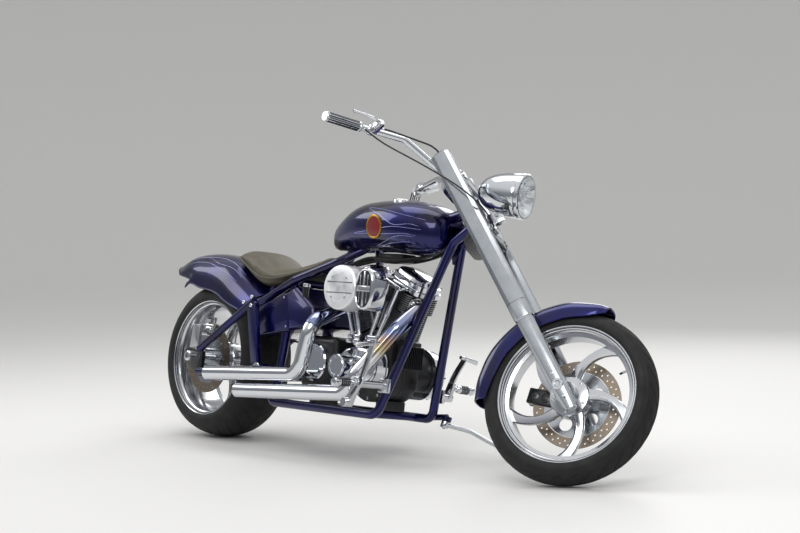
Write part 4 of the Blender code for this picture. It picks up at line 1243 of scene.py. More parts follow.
    def valve(self, rim: Piece) -> None:
        """The tyre's valve stem.

        Args:
            rim: the piece that it joins.
        """
        angle = self.size.turn - 0.25
        way = Vector((cos(angle), sin(angle), 0))
        foot = way * (self.size.lip - 0.034) + Vector((0, 0, -0.012))
        rim.use("zinc_plated_steel").rod(foot, foot - way * 0.018, 0.0045)
        rim.use("neoprene_rubber").rod(foot - way * 0.018, foot - way * 0.030, 0.0038)

    def rotor(self, radius: float, y: float, fixed: float) -> None:
        """The brake disc: a drilled ring on a carrier with large round windows.

        Args:
            radius: the ring's outer radius.
            y: its place along the axle.
            fixed: radius of its middle hole.
        """
        disc = self.piece("brake_rotor", "ground_disc_steel")
        half = 0.0024
        inner = radius - 0.040
        self.drilled(disc, inner, radius, y, half, 30, 0.0038, 2)
        disc.use("brushed_billet_aluminium")
        self.drilled(disc, fixed, inner - 0.002, y, half * 0.9, 5, 0.024 if radius > 0.155 else 0.019, 1)
        disc.use("zinc_plated_steel")
        for a, b in circle(self.BUTTONS, inner - 0.001):
            spot = Vector((a, b, y))
            disc.rod(
                spot - Vector((0, 0, half + 0.0008)), spot + Vector((0, 0, half + 0.0008)), 0.0055, sides=16,
                edge=0.0004
            )
        disc.done(f"{self.name}_disc")

    def drilled(
        self, disc: Piece, inner: float, outer: float, y: float, half: float, count: int, hole: float,
        rows: int
    ) -> None:
        """A flat ring with round holes through it.

        Args:
            disc: the piece that it joins.
            inner: inner radius.
            outer: outer radius.
            y: its place along the axle.
            half: half its thickness.
            count: holes in a row.
            hole: radius of a hole.
            rows: rows of holes, each turned half a step from the last.
        """
        curve = bpy.data.curves.new("ring", "CURVE")
        curve.dimensions = "2D"
        curve.fill_mode = "BOTH"
        curve.extrude = half
        circles = [(0.0, 0.0, outer, 96), (0.0, 0.0, inner, 64)]
        for row in range(rows):
            at = inner + (outer - inner) * (row + 1) / (rows + 1)
            for x, z in circle(count, at, tau * 0.5 * row / count):
                circles.append((x, z, hole, 14 if hole < 0.01 else 36))
        for x, z, radius, sides in circles:
            spline = curve.splines.new("POLY")
            spline.points.add(sides - 1)
            spline.use_cyclic_u = True
            for spot, (a, b) in zip(spline.points, circle(sides, radius)):
                spot.co = (x + a, z + b, 0, 1)
        source = bpy.data.objects.new("ring", curve)
        bpy.context.scene.collection.objects.link(source)
        bpy.context.view_layer.update()
        graph = bpy.context.evaluated_depsgraph_get()
        work = bmesh.new()
        mesh = bpy.data.meshes.new_from_object(source.evaluated_get(graph))
        work.from_mesh(mesh)
        bmesh.ops.remove_doubles(work, verts=work.verts, dist=1e-6)
        disc.add_work(work, Matrix.Translation((0, 0, y)))
        bpy.data.objects.remove(source)
        bpy.data.meshes.remove(mesh)

    def cast_wheel(self) -> None:
        """The rim, spokes, hub and valve as one polished casting."""
        rim = self.piece("cast_wheel", "polished_cast_aluminium")
        self.barrel(rim)
        self.spokes(rim)
        self.hub(rim)
        self.valve(rim)
        rim.done(f"{self.name}_rim", sharp=24)


class Wheels(Assembly):
    """Both wheels, their discs and the belt pulley."""

    FRONT_DISC_Y = 0.0701
    REAR_DISC_Y = -0.105
    PULLEY_Y = 0.148
    PULLEY_RADIUS = 0.115

    def build(self) -> None:
        """Builds the wheels."""
        stance = self.shop.stance
        front = Wheel(self.shop, "front", FRONT_WHEEL, stance.front_hub, Body.FRONT_WHEEL)
        rear = Wheel(self.shop, "rear", REAR_WHEEL, stance.rear_hub, Body.REAR_WHEEL)
        for wheel in (front, rear):
            wheel.tyre()
            wheel.cast_wheel()
        front.rotor(0.163, self.FRONT_DISC_Y, 0.0403)
        rear.rotor(0.146, self.REAR_DISC_Y, 0.0403)
        self.pulley(rear)

    def pulley(self, wheel: Wheel) -> None:
        """The toothed belt pulley on the left.

        Args:
            wheel: the rear wheel.
        """
        pulley = wheel.piece("belt_pulley", "polished_cast_aluminium")
        count = 140
        rings = []
        for z, grow in ((-0.017, 0.0), (0.0145, 0.0), (0.0146, 0.004), (0.017, 0.004)):
            ring = []
            for k in range(count * 2):
                tooth = 0.0016 if k % 2 and not grow else 0.0
                radius = self.PULLEY_RADIUS + grow - tooth
                ring.append((radius * cos(pi * k / count), radius * sin(pi * k / count), z + self.PULLEY_Y))
            rings.append(ring)
        pulley.loft(rings, caps=False)
        web = [
            (self.PULLEY_RADIUS + 0.0039, 0.017), (0.100, 0.017), (0.098, 0.012), (0.050, 0.010),
            (0.048, 0.017), (0.0403, 0.017)
        ]
        web += [(0.0403, 0.0), (0.098, 0.0), (0.100, -0.017), (self.PULLEY_RADIUS - 0.002, -0.017)]
        pulley.lathe(web, Matrix.Translation((0, 0, self.PULLEY_Y)), 96)
        pulley.use("zinc_plated_steel")
        for a, b in circle(5, 0.074):
            pulley.bolt((a, b, self.PULLEY_Y + 0.010), (0, 0, 1), 0.008, 0.006)
        pulley.done("rear_pulley")


# Fork, bars and lamp, in the fork's frame: X ahead, Z up the steering axis

AXLE_AHEAD = 0.050
LEG_Y = 0.127
LEG_TOP = 1.020
LOWER_TREE = 0.705
UPPER_TREE = 0.965
TREE_THICKNESS = 0.035


def leg_ahead(height: float) -> float:
    """How far ahead of the steering axis a fork leg lies at this height."""
    return AXLE_AHEAD - 0.0495 * height


class ForkLegs(Assembly):
    """Both billet legs with their axle, brake and fender."""

    FENDER_RADIUS = 0.349
    FENDER_STATIONS = (
        # degrees round the wheel, half-width, skirt
        (41, 0.048, 0.028),
        (50, 0.067, 0.058),
        (70, 0.0745, 0.073),
        (95, 0.0755, 0.075),
        (120, 0.0755, 0.075),
        (140, 0.073, 0.069),
        (154.5, 0.064, 0.048),
    )
    SECTIONS = (
        # height, half-depth, half-width
        (-0.100, 0.014, 0.012),
        (-0.097, 0.019, 0.017),
        (-0.020, 0.028, 0.025),
        (0.240, 0.031, 0.026),
        (0.286, 0.032, 0.0265),
        (0.288, 0.030, 0.0245),
        (0.292, 0.030, 0.0245),
        (0.296, 0.035, 0.0275),
        (0.300, 0.036, 0.0280),
        (0.362, 0.036, 0.0280),
        (0.3625, 0.034, 0.0260),
        (0.3655, 0.034, 0.0260),
        (0.366, 0.036, 0.0280),
        (1.061, 0.037, 0.0280),
        (1.066, 0.0365, 0.0270),
        (1.075, 0.027, 0.0180),
    )

    def build(self) -> None:
        """Builds the legs and what they carry."""
        for side in Side:
            self.leg(side)
        self.axle()
        self.fender()
        self.caliper()

    def leg(self, side: Side) -> None:
        """One leg: an eight-sided billet slab with seams, an axle clamp and a bolted top.

        Args:
            side: which side.
        """
        leg = self.shop.fork(f"{side.word}_billet_leg", "brushed_billet_aluminium")
        y = side.value * LEG_Y
        quarter = ((1, 0.50), (0.95, 0.62), (0.60, 0.96), (0.48, 1))
        half = [*quarter, *[(-a, b) for a, b in reversed(quarter)]]
        opposite = [(-a, -b) for a, b in half]
        rings = []
        for height, deep, wide in self.SECTIONS:
            x = leg_ahead(height)
            rings.append([(x + a * deep, y + b * wide, height) for a, b in (*half, *opposite)])
        leg.loft(rings)
        out = side.out
        foot = Vector((AXLE_AHEAD, y, 0))
        leg.use("chrome_plated_steel")
        face = foot + out * 0.0238
        place = turn_to(out, face)
        leg.lathe(
            [(0.0205, 0), (0.0205, 0.004), (0.0190, 0.0062), (0.0120, 0.0062), (0.0112, 0.0030), (0, 0.0026)],
            place, 40
        )
        for height in (-0.050, 0.048):
            leg.bolt((leg_ahead(height), y + side.value * 0.0245, height), out, 0.0065, 0.005)
        leg.nut((leg_ahead(LEG_TOP), y, LEG_TOP - 0.001), (0, 0, 1), 0.011, 0.0009)
        leg.done(f"{side.word}_fork_leg", sharp=18)

    def axle(self) -> None:
        """The front axle with its spacers."""
        axle = self.shop.fork("front_axle_bar", "chrome_plated_steel")
        end = LEG_Y + 0.0295
        axle.rod((AXLE_AHEAD, -end, 0), (AXLE_AHEAD, end, 0), 0.0108, edge=0.002)
        for side in Side:
            axle.rod(
                (AXLE_AHEAD, side.value * 0.0745, 0), (AXLE_AHEAD, side.value * 0.1005, 0), 0.017, sides=36
            )
            axle.nut((AXLE_AHEAD, side.value * 0.151, 0), side.out, 0.0105, 0.005)
        axle.done("front_axle")

    def fender(self) -> None:
        """The close front fender with a rolled edge and its stays."""
        table = []
        for angle, half, skirt in self.FENDER_STATIONS:
            way = Vector((cos(radians(angle)), sin(radians(angle)))) * self.FENDER_RADIUS
            table.append((AXLE_AHEAD + way.x, way.y, angle, half, skirt))
        rows = FenderShape(tuple(table), 0.7, 0.75).rows()
        fender = self.shop.fork("front_fender_pressing", "candy_blue_lacquer")
        fender.add(*side_sheet(rows, 0.0026))
        for column in (0, -1):
            fender.tube([row[column] for row in rows], 0.0032, 10)
        for row in (rows[0], rows[-1]):
            fender.tube(row, 0.0032, 10)
        fender.use("brushed_billet_aluminium")
        for side in Side:
            spot = Vector((leg_ahead(0.300), side.value * 0.068, 0.300))
            fender.rod(spot, (spot.x, side.value * (LEG_Y - 0.0255), 0.300), 0.008)
            fender.box((0.050, 0.006, 0.030), spot + Vector((0, side.value * 0.0055, 0)), 0.003)
            for shift in (-0.017, 0.017):
                fender.bolt(spot + Vector((shift, side.value * 0.009, 0)), side.out, 0.0045, 0.004)
        fender.done("front_fender")

    def caliper(self) -> None:
        """The four-piston front caliper with its bridge bolts and lug."""
        caliper = self.shop.fork("front_brake_caliper", "black_stove_enamel")
        angle = radians(140)
        middle = Vector((AXLE_AHEAD + 0.140 * cos(angle), 0.0821, 0.140 * sin(angle)))
        turned = Matrix.Translation(middle) @ Matrix.Rotation(radians(-50), 4, "Y")
        cap = [(0.019, 0), (0.019, 0.0012), (0.017, 0.0022), (0.004, 0.0022), (0.003, 0.001), (0, 0.001)]
        for y in (-0.0165, 0.0165):
            caliper.box((0.058, 0.0125, 0.098), (0, y, 0), 0.005, turned)
            for z in (-0.024, 0.024):
                place = turned @ turn_to((0, copysign(1, y), 0), (0, y + copysign(0.005, y), z))
                caliper.lathe(cap, place, 28)
        caliper.box((0.010, 0.040, 0.094), (-0.023, 0, 0), 0.003, turned)
        caliper.use("zinc_plated_steel")
        for z in (-0.042, 0.042):
            spot = turned @ Vector((-0.023, 0.0215, z))
            caliper.bolt(spot, (0, 1, 0), 0.0055, 0.0012)
        caliper.use("brushed_billet_aluminium")
        caliper.box((0.070, 0.012, 0.034), (-0.012, 0.103, 0.088), 0.003)
        caliper.done("front_caliper")


class Trees(Assembly):
    """The two fork clamps and the steering stem."""

    def build(self) -> None:
        """Builds both clamps."""
        upper = self.shop.fork("upper_fork_clamp", "polished_cast_aluminium")
        self.clamp(upper, UPPER_TREE)
        upper.use("chrome_plated_steel").nut((0, 0, UPPER_TREE + TREE_THICKNESS), (0, 0, 1), 0.019, 0.013)
        upper.done("upper_tree")
        lower = self.shop.fork("lower_fork_clamp", "black_stove_enamel")
        self.clamp(lower, LOWER_TREE)
        lower.use("zinc_plated_steel").rod((0, 0, LOWER_TREE + 0.02), (0, 0, UPPER_TREE - 0.001), 0.0148)
        for height in (LOWER_TREE + TREE_THICKNESS + 0.0005, UPPER_TREE - 0.0095):
            lower.use("brushed_billet_aluminium").rod(
                (0, 0, height), (0, 0, height + 0.0045), 0.030, sides=40
            )
        lower.done("lower_tree")

    def clamp(self, piece: Piece, height: float) -> None:
        """A fork clamp with rounded ears and pinch bolts.

        Args:
            piece: the piece that it joins.
            height: its underside.
        """
        middle = leg_ahead(height)
        back = 0.073 if height == LOWER_TREE else 0.063
        half = [
            (-back, 0.045), (-back + 0.010, 0.066), (middle - 0.030, 0.105), (middle + 0.030, 0.105),
            (0.043, 0.060)
        ]
        outline = rounded(mirrored(half), 0.010)
        piece.plate(
            outline, TREE_THICKNESS - 0.001, Matrix.Translation((0, 0, height + TREE_THICKNESS / 2)), 0.003
        )
        finish = piece.finish
        for side in Side:
            for z in (0.010, 0.025):
                spot = (middle + 0.036, side.value * 0.082, height + z)
                piece.use("zinc_plated_steel").bolt(spot, (0.83, side.value * 0.55, 0), 0.0055, 0.004)
        piece.use(finish)


class Handlebar(Assembly):
    """The swept bar with its risers, grips, levers and the brake's master cylinder."""

    BEND = Vector((-0.095, 0.175, 1.174))
    INNER = Vector((-0.2065, 0.280, 1.245))
    OUTER = Vector((-0.287, 0.425, 1.268))
    BAR = 0.0127
    RISER = (-0.030, 0.045)
    STRIPS = 14

    def build(self) -> None:
        """Builds the bar and both sets of controls."""
        bar = self.shop.fork("swept_bar", "chrome_plated_steel")
        paths = {side: self.path(side) for side in Side}
        bar.tube(list(reversed(paths[Side.RIGHT])) + paths[Side.LEFT][1:], self.BAR, 28)
        riser = [(0.0165, 0.0005), (0.0170, 0.003), (0.0145, 0.010), (0.0145, 0.018)]
        riser += [(0.0168, 0.022), (0.0168, 0.040), (0.0150, 0.0445)]
        foot = UPPER_TREE + TREE_THICKNESS
        for side in Side:
            x, y = self.RISER[0], side.value * self.RISER[1]
            bar.lathe(riser, Matrix.Translation((x, y, foot)), 40)
            bar.bolt((x, y, foot + 0.0440), (0, 0, 1), 0.0055, 0.0010)
        bar.done("handlebar")
        for side in Side:
            self.grip(side)
            self.lever(side)

    def spot(self, point: Vector, side: Side) -> Vector:
        """A point of the left grip, or its mirror on the right."""
        return Vector((point.x, point.y * side.value, point.z))

    def path(self, side: Side) -> Ring:
        """The bar's centre line from the middle out to one end."""
        clamp = UPPER_TREE + TREE_THICKNESS + 0.030
        bend = self.spot(self.BEND, side)
        ends = [self.spot(self.INNER, side), self.spot(self.OUTER, side)]
        return bent([(-0.030, 0, clamp), (-0.030, side.value * 0.060, clamp), bend, *ends], 0.045, 10)

    def grip(self, side: Side) -> None:
        """A chromed grip with rubber strips let into it and a turned end cap.

        Args:
            side: which side.
        """
        inner, outer = self.spot(self.INNER, side), self.spot(self.OUTER, side)
        along = (outer - inner).normalized()
        start = inner + along * 0.0105
        length = (outer - start).length + 0.0048
        place = turn_to(along, start)
        grip = self.shop.fork(f"{side.word}_ribbed_grip", "chrome_plated_steel")
        profile = [
            (0.0130, 0), (0.0192, 0), (0.0194, 0.0015), (0.0194, 0.006), (0.0178, 0.008),
            (0.0178, length - 0.014)
        ]
        profile += [
            (0.0194, length - 0.012), (0.0194, length - 0.004), (0.0165, length - 0.0005), (0.0110, length),
            (0, length - 0.0012)
        ]
        grip.lathe(profile, place, 56)
        grip.use("neoprene_rubber")
        for a, b in circle(self.STRIPS, 0.0172):
            foot, top = Vector((a, b, 0.009)), Vector((a, b, length - 0.015))
            grip.rod(place @ foot, place @ top, 0.0021, sides=8, edge=0.0006)
        grip.done(f"{side.word}_grip")

    def lever(self, side: Side) -> None:
        """Clamp, lever blade and, on the right, the square master cylinder.

        Args:
            side: which side.
        """
        inner, outer = self.spot(self.INNER, side), self.spot(self.OUTER, side)
        along = (outer - inner).normalized()
        ahead = along.cross(Vector((0, 0, 1))).normalized() * side.value
        up = Vector((0, 0, 1))
        inboard = (self.spot(self.BEND, side) - inner).normalized()
        perch = inner + inboard * 0.035
        drop = up * 0.012
        axes = Matrix((ahead, -along, ahead.cross(-along))).transposed()
        turned = Matrix.Translation(perch - drop) @ axes.to_4x4()
        lever = self.shop.fork(f"{side.word}_hand_lever", "chrome_plated_steel")
        clamp = [(0.0131, -0.013), (0.0205, -0.013), (0.0210, -0.0115)]
        clamp += [(0.0210, 0.0115), (0.0205, 0.013), (0.0131, 0.013)]
        lever.lathe(clamp, turn_to(inboard, perch), 44)
        lever.box((0.056, 0.029, 0.025), (0.034, 0, 0), 0.004, turned)
        top = turned @ Vector((0.034, 0, 0.0125))
        if side is Side.RIGHT:
            lever.box((0.048, 0.0285, 0.004), (0.036, 0, 0.0128), 0.0015, turned)
            for x in (0.018, 0.054):
                lever.bolt(turned @ Vector((x, 0, 0.0146)), up, 0.0035, 0.0022)
        else:
            lever.rod(top, top + up * 0.004, 0.009, sides=24)
        pivot = perch + ahead * 0.055 - drop
        lever.rod(pivot - up * 0.012, pivot + up * 0.012, 0.0085, sides=24)
        bends = [pivot, pivot + along * 0.030 + ahead * 0.010]
        bends.append(pivot + along * 0.058 + ahead * 0.006 + up * 0.014)
        bends.append(pivot + along * 0.104 - ahead * 0.010 + up * 0.034)
        line = flowing(bends, 10)
        rings = []
        for i, spot in enumerate(line):
            share = i / (len(line) - 1)
            deep = 0.0085 - 0.0035 * share + (0.0025 * max(0, share - 0.88) / 0.12)
            thick = 0.0042 - 0.0008 * share + (0.0030 * max(0, share - 0.88) / 0.12)
            way = (line[min(i + 1, len(line) - 1)] - line[max(i - 1, 0)]).normalized()
            across = way.cross(up).normalized()
            rings.append([spot + across * a + up * b for a, b in oval(deep, thick, 2.6, 16)])
        lever.loft(rings)
        lever.done(f"{side.word}_lever")


class Headlamp(Assembly):
    """The chromed bullet lamp with its bezel, fluted glass, reflector and bracket."""

    CENTRE = Vector((0.206, 0, 0.809))
    RADIUS = 0.086
    LENGTH = 0.190
    BOWL_STEPS = 144
    RIPPLES = 18
    FLUTES = 620

    def build(self) -> None:
        """Builds the lamp."""
        ahead = Vector((cos(RAKE), 0, -sin(RAKE)))
        place = turn_to(ahead, self.CENTRE)
        self.bucket(place)
        self.glass(place)
        self.bracket()

    def bucket(self, place: Matrix) -> None:
        """The bullet shell, the rolled bezel and the reflector with its bulb shield.

        Args:
            place: the lamp's frame, with local Z ahead.
        """
        lamp = self.shop.fork("bullet_lamp", "chrome_plated_steel")
        radius = self.RADIUS
        shell = [(radius - 0.008, -0.004), (radius - 0.007, -0.0005), (radius - 0.003, 0.0)]
        shell += [(radius, -0.003), (radius, -0.016)]
        shell += [(radius - 0.003, -0.0185), (radius - 0.004, -0.021), (radius - 0.0025, -0.024)]
        for i in range(1, 25):
            angle = i / 24 * pi / 2
            width = (radius - 0.0025) * cos(angle) ** 0.75
            shell.append((width, -0.030 - (self.LENGTH - 0.0305) * sin(angle)))
        shell[-1] = (0.0, -self.LENGTH + 0.0005)
        inside = [(max(r - 0.0045, 0.0), z + 0.0035) for r, z in reversed(shell[8:])]
        lamp.lathe([*shell, *inside], place, 72, closed=True)
        lamp.use("metallised_reflector")
        bowl = []
        for i in range(13):
            share = i / 12
            reach = (radius - 0.0082) * (1 - share) + 0.010 * share
            depth = -0.004 - 0.064 * sin(share * pi / 2)
            ripple = 0.10 * sin(pi * share)
            row = []
            for k in range(self.BOWL_STEPS):
                a = tau * k / self.BOWL_STEPS
                row.append((reach * cos(a), reach * sin(a), depth * (1 + ripple * cos(self.RIPPLES * a))))
            bowl.append(row)
        behind = [[(x, y, z - 0.0015) for x, y, z in row] for row in reversed(bowl)]
        lamp.loft([*bowl, *behind], place, ring=True)
        lamp.use("black_stove_enamel").lathe(
            [(0.0, -0.030), (0.012, -0.030), (0.013, -0.034), (0.013, -0.066)], place, 32
        )
        lamp.use("chrome_plated_steel").lathe(
            [(0.0, -0.018), (0.017, -0.018), (0.019, -0.022), (0.019, -0.034), (0.0175, -0.034)], place, 40
        )
        lamp.done("headlamp")

    def glass(self, place: Matrix) -> None:
        """The domed glass with pressed flutes on its face.

        Args:
            place: the lamp's frame.
        """
        lens = self.shop.fork("fluted_lamp_glass", "pressed_lamp_glass")
        radius = self.RADIUS - 0.0075
        steps = 96
        front, back = [], []
        for i in range(13):
            share = 1 - i / 12
            ring_front, ring_back = [], []
            for k in range(steps):
                angle = tau * k / steps
                x = radius * share * cos(angle)
                dome = 0.0105 * (1 - share * share) + 0.001
                flute = 0.00015 * cos(x * self.FLUTES) if share < 0.97 else 0.0
                reach = max(share, 1e-3) * radius
                ring_front.append((reach * cos(angle), reach * sin(angle), dome + flute))
                ring_back.append((reach * cos(angle), reach * sin(angle), dome - 0.0035 - flute))
            front.append(ring_front)
            back.append(ring_back)
        lens.loft([*reversed(back), *front], place)
        lens.done("headlamp_lens", sharp=60)

    def bracket(self) -> None:
        """The bracket from the lower clamp, with its pivot bolt."""
        bracket = self.shop.fork("lamp_mount", "polished_cast_aluminium")
        top = LOWER_TREE + TREE_THICKNESS
        bracket.box((0.026, 0.050, 0.026), (0.050, 0, top + 0.0135), 0.004)
        for side in Side:
            bracket.box((0.062, 0.006, 0.050), (0.071, side.value * 0.012, top + 0.048), 0.0025)
        bracket.box((0.030, 0.018, 0.056), (0.088, 0, top + 0.050), 0.003)
        bracket.use("zinc_plated_steel")
        for side in Side:
            bracket.nut((0.080, side.value * 0.0149, top + 0.054), side.out, 0.0085, 0.005)
        bracket.done("lamp_bracket")


# Frame, swingarm, rear axle and belt

CRANK = Vector((1.010, 0, 0.345))
GEARBOX_X = 0.720
BANK_ANGLE = radians(22.5)
CARBURETTOR_Z = CRANK.z + 0.295
SIDE_TO_XZ = Matrix.Rotation(radians(90), 4, "X")


def steer_point(height: float) -> Vector:
    """A point of the steering axis in the chassis frame, this far up from its foot."""
    foot = Vector((2.003 - 0.050 * cos(RAKE), 0, FRONT_TYRE_RADIUS - 0.050 * sin(RAKE)))
    return foot + height * Vector((-sin(RAKE), 0, cos(RAKE)))


def at_side(y: float) -> Matrix:
    """Places a flat outline of (x, z) points at this y of the chassis."""
    return Matrix.Translation((0, y, 0)) @ SIDE_TO_XZ


class LoopFrame(Assembly):
    """The twin loop frame with its neck, backbone, seat rails and cross tubes."""

    TUBE = 0.0175
    RAIL_Y = 0.140
    RAIL_Z = 0.175
    CROSS_TUBES = (
        # x, z, half-length
        (1.060, 0.175, 0.140),
        (0.660, 0.175, 0.140),
        (0.545, 0.655, 0.125),
        (0.706, 0.705, 0.113),
        (1.100, 0.868, 0.030),
        (0.400, 0.6207, 0.112),
    )

    def build(self) -> None:
        """Builds the frame."""
        frame = self.shop.chassis("loop_frame", "candy_blue_lacquer")
        low, high = steer_point(0.745), steer_point(0.955)
        along = high - low
        length = along.length
        neck = [(0.0155, 0), (0.0300, 0), (0.0300, 0.018), (0.0270, 0.024), (0.0270, length - 0.024)]
        neck += [(0.0300, length - 0.018), (0.0300, length), (0.0155, length)]
        frame.lathe(neck, turn_to(along, low), 48)
        frame.tube(
            bent([steer_point(0.865), (1.02, 0, 0.868), (0.745, 0, 0.800), (0.700, 0, 0.690)], 0.10), 0.021,
            28
        )
        for side in Side:
            self.loop(frame, side.value)
        for x, z, half in self.CROSS_TUBES:
            frame.tube([(x, -half, z), (x, half, z)], 0.015, 24)
        self.stand_bracket(frame)
        frame.done("frame")

    def loop(self, frame: Piece, side: int) -> None:
        """Adds one side's downtube, bottom rail, upright and seat rail.

        Args:
            frame: the piece.
            side: sign of its Y.
        """
        join = steer_point(0.800)
        y = side * self.RAIL_Y
        loop = [(join.x - 0.004, side * 0.014, join.z), (1.360, side * 0.024, 0.842), (1.155, y, self.RAIL_Z)]
        loop += [(0.490, y, self.RAIL_Z), (0.490, side * 0.108, 0.245), (0.545, side * 0.108, 0.655)]
        frame.tube(bent(loop, 0.050, 10), self.TUBE, 28)
        rail = [(0.905, 0, 0.836), (0.800, side * 0.105, 0.747), (0.566, side * 0.125, 0.667)]
        rail += [(0.345, side * 0.108, 0.573), (0.256, side * 0.108, 0.559)]
        frame.tube(bent(rail, 0.09, 10), self.TUBE, 28)
        gusset = [(1.395, 0.872), (1.330, 0.755), (1.318, 0.800), (1.325, 0.862)]
        frame.plate(rounded(gusset, 0.008), 0.006, at_side(side * 0.014))

    def stand_bracket(self, frame: Piece) -> None:
        """Adds the side stand's bracket and pin on the left rail."""
        pivot = Vector(SideStand.PIVOT)
        axis = SideStand.AXIS
        low = SideStand.COLLAR / 2 + 0.0003
        frame.tube([(1.060, self.RAIL_Y, self.RAIL_Z), pivot + axis * (low + 0.017)], 0.012, 20)
        frame.rod(pivot + axis * low, pivot + axis * (low + 0.020), 0.019)
        frame.use("zinc_plated_steel")
        frame.rod(pivot - axis * (low + 0.003), pivot + axis * (low + 0.004), 0.0059)


class RearAxle(Assembly):
    """Swingarm with its axle plates, the rear axle and the rear brake caliper."""

    ARM_Y = 0.190
    PIVOT = (0.457, 0.300)

    def build(self) -> None:
        """Builds the three pieces."""
        self.swingarm()
        self.axle()
        self.caliper()

    def swingarm(self) -> None:
        """The triangulated swingarm: two tubes, a flat strut and an axle plate on each side."""
        arm = self.shop.chassis("triangulated_swingarm", "candy_blue_lacquer")
        x, z = self.PIVOT
        axle = REAR_TYRE_RADIUS
        arm.tube([(x, -self.ARM_Y, z), (x, self.ARM_Y, z)], 0.022, 32)
        for side in Side:
            y = side.value * self.ARM_Y
            arm.tube([(x, y, z - 0.012), (0.060, y, axle - 0.060)], 0.0165, 28)
            arm.tube([(0.392, y, 0.566), (0.052, y, axle + 0.032)], 0.0165, 28)
            strut = [(x - 0.030, z), (x + 0.014, z + 0.004), (0.412, 0.572), (0.356, 0.548)]
            arm.plate(rounded(strut, 0.012), 0.020, at_side(y), 0.003)
        arm.use("black_stove_enamel")
        for side in Side:
            y = side.value * self.ARM_Y
            outline = arc((-0.010, axle), 0.036, 90, 270, 16)
            outline += rounded([(0.040, axle - 0.078), (0.085, axle - 0.078), (0.085, axle + 0.054)], 0.008)
            arm.plate(outline, 0.016, at_side(y), 0.0015)
        arm.use("chrome_plated_steel")
        for side in Side:
            y = side.value * (self.ARM_Y + 0.0005)
            way = side.out
            arm.lathe(
                [(0.0225, -0.006), (0.0250, -0.005), (0.0250, 0.008), (0.0225, 0.011), (0, 0.0125)],
                turn_to(way, (x, y, z)), 40
            )
            for dx, dz in ((0.068, 0.040), (0.068, -0.062)):
                arm.bolt((dx, side.value * (self.ARM_Y + 0.008), axle + dz), way, 0.0075, 0.0050)
            arm.bolt((0.388, side.value * (self.ARM_Y + 0.010), 0.550), way, 0.0085, 0.0055)
        arm.done("swingarm")

    def axle(self) -> None:
        """The axle with its chrome end caps."""
        axle = self.shop.chassis("rear_axle_and_caps", "chrome_plated_steel")
        z = REAR_TYRE_RADIUS
        axle.rod((0, -0.206, z), (0, 0.206, z), 0.0108)
        cap = [(0.0108, 0), (0.0220, 0), (0.0220, 0.0110), (0.0205, 0.0150), (0.0150, 0.0174)]
        cap.append((0.0085, 0.0174))
        for side in Side:
            place = turn_to(side.out, (0, side.value * 0.1985, z))
            axle.lathe(cap, place, 40)
            axle.lathe([(0.0085, 0.0174), (0.0075, 0.0120), (0, 0.0120)], place, 24)
        axle.done("rear_axle")

    def caliper(self) -> None:
        """The billet caliper over the rear disc, with its bridge bolts and hanger."""
        y = Wheels.REAR_DISC_Y
        caliper = self.shop.chassis("rear_billet_caliper", "polished_cast_aluminium")
        angle = radians(88)
        x, z = 0.115 * cos(angle), REAR_TYRE_RADIUS + 0.115 * sin(angle)
        for shift in (-0.0195, 0.0160):
            caliper.box((0.098, 0.0200, 0.050), (x, y + shift - 0.002, z), 0.006, segments=4)
        caliper.box((0.026, 0.050, 0.014), (x, y - 0.004, z + 0.0205), 0.003)
        caliper.box((0.038, 0.050, 0.028), (x, -0.149, z), 0.004)
        outline = rounded([(-0.034, 0.023), (0.026, 0.023), (0.030, 0.132), (-0.024, 0.132)], 0.008)
        caliper.plate([(a, REAR_TYRE_RADIUS + b) for a, b in outline], 0.0115, at_side(-0.1757))
        caliper.use("zinc_plated_steel")
        for dx in (-0.034, 0.034):
            caliper.bolt((x + dx, y - 0.0315, z), Side.RIGHT.out, 0.0065)
        caliper.done("rear_caliper")


class BeltDrive(Assembly):
    """The toothed final drive belt on the left."""

    FRONT = (GEARBOX_X - 0.015, 0.345)
    FRONT_RADIUS = 0.042
    REAR_RADIUS = 0.117
    THICKNESS = 0.0055
    WIDTH = 0.027
    Y = 0.1475

    def build(self) -> None:
        """Builds the belt."""
        belt = self.shop.chassis("toothed_drive_belt", "neoprene_rubber")
        half = self.WIDTH / 2
        line = belt_line(self.FRONT_RADIUS, self.REAR_RADIUS, self.FRONT, (0, REAR_TYRE_RADIUS), 40)
        outer = belt_line(
            self.FRONT_RADIUS + self.THICKNESS, self.REAR_RADIUS + self.THICKNESS, self.FRONT,
            (0, REAR_TYRE_RADIUS), 40
        )
        rings = []
        for (a, b), (c, d) in zip(line, outer):
            rings.append(
                [(a, self.Y - half, b), (c, self.Y - half, d), (c, self.Y + half, d), (a, self.Y + half, b)]
            )
        belt.loft(rings, ring=True)
        belt.done("drive_belt")


def belt_line(front_radius: float, rear_radius: float, front: Point, rear: Point, steps: int) -> Flat:
    """Outline of a band round two circles in the side plane.

    Args:
        front_radius: radius of the front circle.
        rear_radius: radius of the rear circle.
        front: its middle, (x, z).
        rear: middle of the rear circle, (x, z).
        steps: points on each half.

    Returns:
        The outline's (x, z) points.
    """
    span = Vector(front) - Vector(rear)
    lean = degrees(asin((rear_radius - front_radius) / span.length))
    base = degrees(atan2(span.y, span.x))
    nose = arc(front, front_radius, base - 90 + lean, base + 90 - lean, steps)
    return nose + arc(rear, rear_radius, base + 90 - lean, base + 270 + lean, steps)


